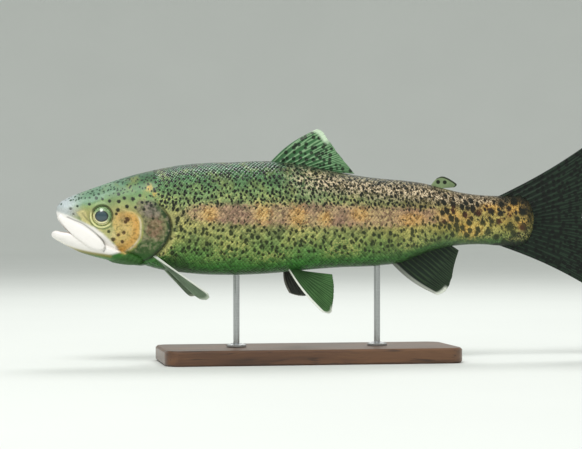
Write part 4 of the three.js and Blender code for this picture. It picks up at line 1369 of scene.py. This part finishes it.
def fin_plate(name, fin, rng):
    columns, rows = fin["grid"]
    deselect()
    bpy.ops.mesh.primitive_grid_add(x_subdivisions=columns, y_subdivisions=rows, size=2)
    piece = bpy.context.object
    piece.name = piece.data.name = name + "_rays"
    bpy.ops.object.mode_set(mode="EDIT")
    bpy.ops.mesh.select_all(action="SELECT")
    bpy.ops.mesh.extrude_region_move(TRANSFORM_OT_translate={"value": (0, 0, 1)})
    bpy.ops.object.mode_set(mode="OBJECT")
    unit = points_of(piece) * MM
    u, v, top = (unit[:, 0] + 1) / 2, (unit[:, 1] + 1) / 2, unit[:, 2] > 0.5
    count = fin["count"]
    rays = ray_ridge(u, v, count)
    # The web between the rays is cut back a little, and each ray's tip is worn by its own amount
    worn = rng.uniform(0, 1, count + 2)[(u * count).astype(int)] if count else 0
    web = 1 - ray_ridge(u, np.ones(len(u)), count) if count else 0
    reach = v * (REACH - (WEB_CUT * web + WEAR * worn) * smoothstep(0.75, 1, v))
    step = 1e-3
    middle = fin_middle(fin, u, reach)
    behind = fin_middle(fin, np.minimum(u + step, 1), reach)
    ahead = fin_middle(fin, np.maximum(u - step, 0), reach)
    outward = fin_middle(fin, u, reach + step) - fin_middle(fin, u, reach - step)
    normal = np.cross(behind - ahead, outward)
    normal = normal / np.linalg.norm(normal, axis=1)[:, None]
    thick = fin["thickness"][0] + (fin["thickness"][1] - fin["thickness"][0]) * v**TAPER
    thick = thick * (0.42 + 0.58 * rays) if count else thick
    edge = np.minimum(np.minimum(u, 1 - u) * 1.4, 1 - v)
    rounded = np.sqrt(1 - (1 - np.clip(edge / RIM, 0, 1)) ** 2)
    lead = np.maximum(ridge(u, 0.02), 0.6 * ridge(1 - u, 0.015)) if count else 0
    thick = np.minimum(thick * (1 + 0.5 * lead), fin["thickness"][0]) * (0.12 + 0.88 * rounded)
    place_points(piece, bent(middle + normal * (np.where(top, 0.5, -0.5) * thick)[:, None]))
    for key, values in {"ray": rays, "reach": v, "front": u}.items():
        store(piece, key, values)
    drop_uv_maps(piece)
    face_outwards(piece)
    bpy.ops.object.shade_smooth()
    return piece


# %% [markdown]
# ## The finish of the fins
#
# The web of a fin is a smoky, half clear skin, and its rays are pale bone that shows through.
# The material mixes the two by the same ray pattern that shaped the plate. Pelvic, anal and
# dorsal fins of a trout end in a pale tip, and the front edge of the lower ones is white.

# %% Fin colours, and all the fins
FIN_LOOKS = {
    # web, ray, tip colour, tip from this reach, tip on the front share, white front edge, spots
    "dorsal_fin": ("#3d6941", "#93b88a", "#cfe4c6", 0.88, 0.2, 0.1, 0.38),
    "anal_fin": ("#16241a", "#35482f", "#e8ecdf", 0.91, 0.26, 0.5, 0.0),
    # the caudal fin's near-black colours are painted shade, as if the tail lay out of the light
    "caudal_fin": ("#111d14", "#253828", "#121a12", 0.97, 1.0, 0.0, 0.4),
    "pelvic_fin_left": ("#26471f", "#4d7442", "#efefe6", 0.95, 0.3, 0.95, 0.0),
    # the far pelvic fin is a darker copy of the near one: painted shade
    "pelvic_fin_right": ("#1b231c", "#3b463a", "#cfd3c8", 0.94, 0.3, 0.3, 0.0),
    "pectoral_fin_left": ("#4c6148", "#93a58c", "#d0d8c6", 0.94, 0.4, 0.8, 0.0),
    "adipose_fin": ("#7c8e66", "#7c8e66", "#28301f", 0.86, 1.0, 0.1, 0.0),
}
ADIPOSE_SPOTS = [(85.0, 143.2), (90.6, 143.0)]  # x, z
SPOTS_PER_MM = 0.24  # a fin's spots are about four millimetres apart
FRONT_EDGE = "#eceee4"


def fin_spots(tree, place, spots):
    """Where a fin has spots, with their colour: many round ones, or two on the adipose fin."""
    flat = add(tree, "VectorMath", {0: place, 1: (TO_MM, 0.0, TO_MM)}, operation="MULTIPLY")
    if not spots:
        away = [
            add(tree, "VectorMath", {0: flat, 1: (x, 0.0, z)}, "Value", operation="DISTANCE")
            for x, z in ADIPOSE_SPOTS
        ]
        dark = {"From Min": 1.9, "From Max": 1.4}
        return [(add(tree, "MapRange", {"Value": far, **dark}), "#1b2117") for far in away]
    turned = add(tree, "Mapping", {0: flat, "Rotation": (math.pi / 2, 0.6, 0)})
    cell = add(tree, "TexVoronoi", {"Vector": turned, "Scale": SPOTS_PER_MM, "Randomness": 0.7})
    share = add(tree, "MapRange", {
        "Value": cell, "From Min": spots + 0.08, "From Max": spots - 0.04, "To Max": 0.85,
    })
    return [(share, "#080c08")]


def fin_material(name, web, ray, tip, tip_from, tip_front, lead, spots):
    material, tree = new_material(name)
    mask = {
        key: add(tree, "Attribute", output="Fac", attribute_name=key)
        for key in ("ray", "reach", "front")
    }
    place = add(tree, "TexCoord", output="Object")
    streaks = add(tree, "TexNoise", {"Vector": place, "Scale": 140.0, "Detail": 3.0})
    bone = add(tree, "MapRange", {
        "Value": mask["ray"], "From Min": 0.25, "From Max": 0.95, "To Max": 0.8,
    })
    colour = add(tree, "Mix", {FACTOR: bone, FIRST: linear(web), SECOND: linear(ray)}, MIXED, **COLOUR)
    shade = add(tree, "MapRange", {
        "Value": streaks, "From Min": 0.3, "From Max": 0.7, "To Min": 0.8, "To Max": 1.2,
    })
    colour = add(tree, "VectorMath", {0: colour, "Scale": shade}, operation="SCALE")
    layers = []
    if spots or name.startswith("adipose"):
        layers += fin_spots(tree, place, spots)

    # The pale tip, on the front share of the fin's edge
    end = add(tree, "MapRange", {
        "Value": mask["reach"], "From Min": tip_from, "From Max": tip_from + 0.06,
    })
    near_front = add(tree, "MapRange", {
        "Value": mask["front"], "From Min": tip_front + 0.08, "From Max": tip_front,
    })
    layers.append((add(tree, "Math", {0: end, 1: near_front}, operation="MULTIPLY"), tip))

    # The white front edge, which grows stronger outwards
    edge = add(tree, "MapRange", {
        "Value": mask["front"], "From Min": 0.075, "From Max": 0.05, "To Max": lead,
    })
    outer = add(tree, "MapRange", {
        "Value": mask["reach"], "From Min": 0.3, "From Max": 0.8, "To Min": lead,
    })
    layers.append((add(tree, "Math", {0: edge, 1: outer}, operation="MULTIPLY"), FRONT_EDGE))
    for share, code in layers:
        colour = add(tree, "Mix", {FACTOR: share, FIRST: colour, SECOND: linear(code)}, MIXED, **COLOUR)
    joints = add(tree, "Bump", {"Height": streaks, "Strength": 0.25, "Distance": 0.0003})
    shader = add(tree, "BsdfPrincipled", {
        "Base Color": colour, "Roughness": 0.62, "Normal": joints, "IOR": 1.33,
        "Coat Weight": 0.05, "Coat Roughness": 0.25,
    })
    add(tree, "OutputMaterial", {"Surface": shader})
    return material


# %% Make every fin
def mirrored_copy(piece, name):
    """A copy on the other side, its faces turned so that they still point outwards."""
    other = piece.copy()
    other.data = piece.data.copy()
    other.name = other.data.name = name
    bpy.context.collection.objects.link(other)
    place_points(other, points_of(other) * (1, -1, 1))
    face_outwards(other)
    return other


wear = np.random.default_rng(11)
for name, fin in FINS.items():
    plate = fin_plate(name, fin, wear)
    finish_piece(plate, fin_material(name + " skin", *FIN_LOOKS[name]), "fin", name)
    if name == "pectoral_fin_left":
        other = mirrored_copy(plate, "pectoral_fin_right_rays")
        finish_piece(other, plate.data.materials[0], "fin", "pectoral_fin_right")
    print(name, "has", fin["count"], "rays and", len(plate.data.polygons), "faces")

# %% [markdown]
# ## One scale
#
# A trout's scale is a thin rounded plate. Its front is sunk in the skin and its rear edge lies
# free over the next. It is modelled once, from a ten-sided circle extruded to a thin plate, with
# the free face poked to a low crown. Some forty triangles are enough, as there are thousands.

# %% Model the scale
SCALE = {
    "length": 4.0, "width": 3.04, "thickness": 0.17,
    "sunk": -0.12,  # depth of its root in the skin
    "proud": 0.2,  # height of its free edge over the skin
    "crown": 0.05,
}

deselect()
bpy.ops.mesh.primitive_circle_add(vertices=10, radius=1, fill_type="NGON")
one_scale = bpy.context.object
bpy.ops.object.mode_set(mode="EDIT")
bpy.ops.mesh.select_all(action="SELECT")
bpy.ops.mesh.extrude_region_move(TRANSFORM_OT_translate={"value": (0, 0, 1)})
bpy.ops.mesh.poke()
bpy.ops.mesh.select_all(action="SELECT")
bpy.ops.mesh.quads_convert_to_tris()
bpy.ops.mesh.normals_make_consistent(inside=False)
bpy.ops.object.mode_set(mode="OBJECT")
template = points_of(one_scale) * MM
along, across, over = (template[:, 0] + 1) / 2, template[:, 1] / 2, template[:, 2] > 0.5
centre = np.hypot(template[:, 0], template[:, 1]) < 0.1
lift = SCALE["sunk"] + (SCALE["proud"] - SCALE["sunk"]) * along
lift = np.where(over, lift + SCALE["crown"] * centre, lift - SCALE["thickness"])
corners = np.array([list(p.vertices) for p in one_scale.data.polygons])
free_face = np.array([all(over[v] for v in p.vertices) for p in one_scale.data.polygons])
bpy.data.objects.remove(one_scale, do_unlink=True)
print("one scale:", len(corners), "triangles,", SCALE["length"], "by", SCALE["width"], "mm")

# %% [markdown]
# ## The scale coat
#
# Scales lie in rows along the body, like tiles, each row half a scale behind the next. The rows
# keep their distance from the lateral line, measured along the skin, and run out at the back and
# belly, and the scales grow smaller towards the tail. Each scale's vertices are placed on the
# body's own surface, so it bends with it. A Surface Deform or an array on a curve would need
# one object per row. Arrays of numbers place them all in a few seconds.

# %% Places on the body for the scales
ARC_SHARES = np.linspace(0, 1, len(ARC_ANGLES))
ANGLE_UP, ANGLE_DOWN = (
    np.array([np.interp(ARC_SHARES * row[-1], row, ARC_ANGLES) for row in table])
    for table in (ARC_UP, ARC_DOWN)
)
QUARTER = math.pi / 2
COAT = {
    "from": -156.0,  # the nape's first scales
    "thin": 16,  # how far behind the first scales the coat is complete
    "to": 163.0,
    "pitch": 2.5,  # from scale to scale along a row
    "row": 1.52,  # from row to row
    "rows": 44,  # above the lateral line, and as many below
    "gill_gap": 1.6,  # bare skin behind the gill cover's edge
    "step": 0.25,  # how finely the rows are measured
}


def scale_size(x):
    return smooth_through([-156, -125, 60, 163], [0.7, 1.0, 1.0, 0.62], x)


def angle_at(x, arc):
    """The angle round the body at a length along the skin, up from the widest line."""
    quarter = np.full_like(x, QUARTER)
    total = np.where(arc >= 0, from_table(ARC_UP, x, quarter), from_table(ARC_DOWN, x, quarter))
    share = np.minimum(np.abs(arc) / total, 1.2)
    folded = np.where(share > 1, 2 - share, share) * QUARTER
    angle = np.where(arc >= 0, from_table(ANGLE_UP, x, folded), from_table(ANGLE_DOWN, x, folded))
    angle = np.where(share > 1, math.pi - angle, angle)
    return np.where(arc >= 0, angle, -angle)


BODY_MIDDLE = 113  # height of the body's middle line


def on_body(x, arc, side, lift):
    """Points on the skin at a place and arc length, lifted off it. Returns the base too."""
    angle = angle_at(x, arc)
    base = form_point(BODY, x, angle, -COAT_DEPTH)
    behind = form_point(BODY, x + 0.5, angle, -COAT_DEPTH)
    above = form_point(BODY, x, angle + 0.01, -COAT_DEPTH)
    normal = np.cross(above - base, behind - base)
    normal = -normal / np.linalg.norm(normal, axis=1)[:, None]
    from_middle = (base - [0, 0, BODY_MIDDLE])[:, 1:]
    outwards = np.sum(normal[:, 1:] * from_middle, axis=1) > 0
    normal = normal * np.where(outwards, 1, -1)[:, None]
    head = x < HEAD_END
    lift = lift.copy()
    lift[head] += head_relief(base[head])
    mirror = np.stack([np.ones_like(side), side, np.ones_like(side)], axis=-1)
    return (base + normal * lift[:, None]) * mirror, base * mirror


# %% [markdown]
# ## Rows of scales
#
# Every other row starts half a scale further back. Scales that would pass the back or the belly
# or lie on the gill cover are left out, and the nape's first ones come in a few at a time.

# %% Find each scale's root
steps = np.arange(COAT["from"], COAT["to"], COAT["step"])
columns = COAT["step"] / (COAT["pitch"] * scale_size(steps[:-1]))
columns_passed = np.concatenate([[0], np.cumsum(columns)])
dice = np.random.default_rng(5)
roots = []
for row in range(-COAT["rows"], COAT["rows"] + 1):
    x = np.interp(np.arange(0.5 * (row % 2), columns_passed[-1], 1.0), columns_passed, steps)
    roots.append(np.stack([x, row * COAT["row"] * scale_size(x)], axis=-1))
roots = np.concatenate(roots)
roots = np.concatenate([np.column_stack([roots, np.full(len(roots), s)]) for s in (-1.0, 1.0)])
x, arc, side = roots.T
quarter = np.full_like(x, QUARTER)
longest = np.where(arc >= 0, from_table(ARC_UP, x, quarter), from_table(ARC_DOWN, x, quarter))
kept = np.abs(arc) <= longest + 0.4
placed, base = on_body(x, arc, side, np.zeros_like(x))
kept &= (gill_distance(base) > COAT["gill_gap"]) | (x > HEAD_END)
thinned = smoothstep(COAT["from"] - 3, COAT["from"] + COAT["thin"], x)
kept &= dice.uniform(0, 1, len(x)) < thinned
roots = roots[kept]
print(len(roots), "scales in", 2 * COAT["rows"] + 1, "rows on each side")


# %% [markdown]
# ## The joined pieces
#
# One mesh of all the scales would be too heavy to handle, so the coat is four pieces, split at
# the lateral line. Each scale gets its own size, turn, tilt and tone by a seeded chance, and its
# own small patch in a UV map, laid out like the flattened hide, into which colours can be baked.

# %% Lay the scales in four pieces
BAKE = {"length": 320, "girth": 125, "patch": 0.003, "margin": 0.004}  # mm, mm, shares of the map


def coat_piece(name, roots, dice):
    number, per_scale = len(roots), len(template)
    root_x, root_arc, root_side = (roots[:, k, None] for k in range(3))
    size = scale_size(roots[:, 0])[:, None] * dice.uniform(0.95, 1.05, (number, 1))
    turn = dice.normal(0, 0.05, (number, 1))
    tone = dice.uniform(0, 1, (number, 1))
    tilt = dice.normal(0, 0.02, (number, 1))
    a = along * np.cos(turn) - across * np.sin(turn)
    b = across * np.cos(turn) + along * np.sin(turn)
    x = root_x + a * SCALE["length"] * size
    arc = root_arc * scale_size(x) / scale_size(root_x) + b * SCALE["width"] * size
    height = (lift + tilt * along + 0.06 * (root_arc == 0) * along) * size**0.5
    side = np.broadcast_to(root_side, x.shape)
    placed, base = on_body(x.ravel(), arc.ravel(), side.ravel(), height.ravel())
    mesh = bpy.data.meshes.new(name)
    faces = (corners[None] + (np.arange(number) * per_scale)[:, None, None]).reshape(-1, 3)
    mesh.vertices.add(number * per_scale)
    mesh.loops.add(faces.size)
    mesh.polygons.add(len(faces))
    mesh.loops.foreach_set("vertex_index", faces.ravel().astype(np.int32))
    mesh.polygons.foreach_set("loop_start", np.arange(0, faces.size, 3, dtype=np.int32))
    piece = bpy.data.objects.new(name, mesh)
    bpy.context.collection.objects.link(piece)
    place_points(piece, bent(placed))
    mesh.update(calc_edges=True)
    mesh.polygons.foreach_set("use_smooth", np.tile(free_face, number))
    # On the right side the scales are mirror images, so their faces are turned round
    face_outwards(piece)
    mesh = piece.data
    paint(piece, base, np.broadcast_to(tone, x.shape).ravel())
    from_back = from_table(ARC_UP, roots[:, 0], np.full(number, QUARTER)) - roots[:, 1]
    u = (roots[:, 0, None] - COAT["from"]) / BAKE["length"] + BAKE["patch"] * (along - 0.5)
    v = from_back[:, None] / BAKE["girth"] + BAKE["patch"] * across
    place = np.stack([u, v], axis=-1).reshape(-1, 2) + BAKE["margin"]
    loops = np.empty(len(mesh.loops), dtype=np.int32)
    mesh.loops.foreach_get("vertex_index", loops)
    layer = mesh.uv_layers.new(name="OFBake")
    layer.data.foreach_set("uv", place[loops].astype(np.float32).ravel())
    finish_piece(piece, scale_skin, "skin", "head", "trunk", "tail_stalk")
    return piece


left, upper = roots[:, 2] < 0, roots[:, 1] >= 0
for name, share in {
    "scales_left_upper": left & upper,
    "scales_left_lower": left & ~upper,
    "scales_right_upper": ~left & upper,
    "scales_right_lower": ~left & ~upper,
}.items():
    piece = coat_piece(name, roots[share], dice)
    print(name, len(piece.data.polygons), "triangles")

# %% [markdown]
# ## The stand
#
# The base is a slab of dark hardwood under satin varnish, with its grain along its length, and
# the rods are brushed stainless steel. The CAD shapes are right as they are, so only the finish
# changes. Wood grain is noise stretched twenty times along the board, with thin dark pores in it,
# and brushing is noise stretched round each rod.

# %% Varnished hardwood
walnut, tree = new_material("satin varnished walnut")
place = add(tree, "TexCoord", output="Object")
wavy = add(tree, "TexNoise", {"Vector": place, "Scale": 9.0, "Detail": 2.0}, "Color")
flow = add(tree, "VectorMath", {0: wavy, 1: (0.02, 0.02, 0.02), 2: place}, operation="MULTIPLY_ADD")
board = add(tree, "VectorMath", {0: flow, 1: (14.0, 260.0, 260.0)}, operation="MULTIPLY")
grain = add(tree, "TexNoise", {"Vector": board, "Scale": 0.32, "Detail": 5.0, "Roughness": 0.6})
figure = colour_ramp(
    add(tree, "ValToRGB", {"Fac": grain}),
    [(0.3, "#3a2416"), (0.45, "#5a3a24"), (0.58, "#6e4a2e"), (0.72, "#4a2f1c")],
)
fine = add(tree, "TexNoise", {"Vector": board, "Scale": 2.4, "Detail": 2.0})
pore = add(tree, "MapRange", {"Value": fine, "From Min": 0.6, "From Max": 0.7, "To Max": 0.6})
tint = add(tree, "Mix", {FACTOR: pore, FIRST: figure, SECOND: linear("#24150c")}, MIXED, **COLOUR)
gloss = add(tree, "MapRange", {"Value": grain, "To Min": 0.3, "To Max": 0.46})
dents = add(tree, "Bump", {"Height": pore, "Strength": 0.3, "Distance": 0.0002})
shader = add(tree, "BsdfPrincipled", {
    "Base Color": tint, "Roughness": gloss, "Normal": dents, "IOR": 1.5, "Coat Weight": 0.3,
    "Coat Roughness": 0.2,
})
add(tree, "OutputMaterial", {"Surface": shader})
print("walnut:", len(tree.nodes), "nodes")

# %% Brushed steel, and the stand's new finishes
steel, tree = new_material("brushed stainless steel")
place = add(tree, "TexCoord", output="Object")
turned = add(tree, "VectorMath", {0: place, 1: (60.0, 60.0, 5200.0)}, operation="MULTIPLY")
lines = add(tree, "TexNoise", {"Vector": turned, "Scale": 1.0, "Detail": 3.0})
shade = colour_ramp(add(tree, "ValToRGB", {"Fac": lines}), [(0.3, "#a3a5a6"), (0.7, "#c9cbcb")])
gloss = add(tree, "MapRange", {"Value": lines, "To Min": 0.2, "To Max": 0.42})
scratches = add(tree, "Bump", {"Height": lines, "Strength": 0.2, "Distance": 0.00005})
shader = add(tree, "BsdfPrincipled", {
    "Base Color": shade, "Roughness": gloss, "Normal": scratches, "Metallic": 1.0, "Anisotropic": 0.5,
})
add(tree, "OutputMaterial", {"Surface": shader})

for name, finish in (("stand_base", walnut), ("stand_rod_front", steel), ("stand_rod_rear", steel)):
    for slot in bpy.data.objects[name].material_slots:
        slot.material = finish
    print(name, "is finished in", finish.name)

# %% [markdown]
# ## Studio
#
# A museum model is shown on a pale floor in soft light: one large lamp high in front, a weaker
# one on the far side to draw the back's edge, and an even pale sky that fills the shadows. The
# floor is a disc whose rim is extruded up in steps, so no hard line shows behind the fish.

# %% A floor that curves up into a wall
COVE = {"floor": 5.0, "round": 2.0, "steps": 10}  # metres

deselect()
bpy.ops.mesh.primitive_circle_add(vertices=128, radius=COVE["floor"], fill_type="NGON")
floor = bpy.context.object
floor.name = floor.data.name = "studio_floor"
rings = [
    (COVE["floor"] + COVE["round"] * math.sin(t), COVE["round"] * (1 - math.cos(t)))
    for t in np.linspace(0, math.pi / 2, COVE["steps"] + 1)
]
bpy.ops.object.mode_set(mode="EDIT")
bpy.ops.mesh.select_mode(type="EDGE")
bpy.ops.mesh.select_all(action="SELECT")
bpy.ops.mesh.region_to_loop()
for (radius, height), (wider, higher) in zip(rings[:-1], rings[1:]):
    bpy.ops.mesh.extrude_edges_move(TRANSFORM_OT_translate={"value": (0, 0, higher - height)})
    bpy.ops.transform.resize(value=(wider / radius, wider / radius, 1))
bpy.ops.object.mode_set(mode="OBJECT")
bpy.ops.object.shade_smooth()
plaster, tree = new_material("pale matt floor")
place = add(tree, "TexCoord", output="Object")
mottle = add(tree, "TexNoise", {"Vector": place, "Scale": 3.0, "Detail": 4.0})
shade = add(tree, "MapRange", {"Value": mottle, "To Min": 0.97, "To Max": 1.03})
tint = add(tree, "VectorMath", {0: linear("#d9dcd8")[:3], "Scale": shade}, operation="SCALE")
shader = add(tree, "BsdfPrincipled", {"Base Color": tint, "Roughness": 0.85, "Specular IOR Level": 0.2})
add(tree, "OutputMaterial", {"Surface": shader})
floor.data.materials.append(plaster)
print("studio floor:", 2 * COVE["floor"], "m across")

# %% Lamps and sky
def soft_lamp(name, place, aim, size, power):
    lamp = bpy.data.lights.new(name, "AREA")
    lamp.shape = "DISK"
    lamp.size = size
    lamp.energy = power
    holder = bpy.data.objects.new(name, lamp)
    holder.location = place
    away = np.array(place) - np.array(aim)
    holder.rotation_euler = (
        math.atan2(math.hypot(away[0], away[1]), away[2]), 0, math.atan2(away[0], -away[1])
    )
    bpy.context.collection.objects.link(holder)


soft_lamp("key", (-0.7, -1.2, 1.9), (-0.05, 0, 0.11), 1.0, 29)
soft_lamp("rim", (0.3, 1.1, 1.7), (0, 0, 0.11), 0.9, 17)
world = bpy.data.worlds.new("pale sky")
world.use_nodes = True
world.node_tree.nodes["Background"].inputs["Color"].default_value = linear("#e2e5e2")
world.node_tree.nodes["Background"].inputs["Strength"].default_value = 0.85
bpy.context.scene.world = world
bpy.context.scene.view_settings.view_transform = "Standard"
print(len(bpy.data.lights), "lamps under a pale sky")
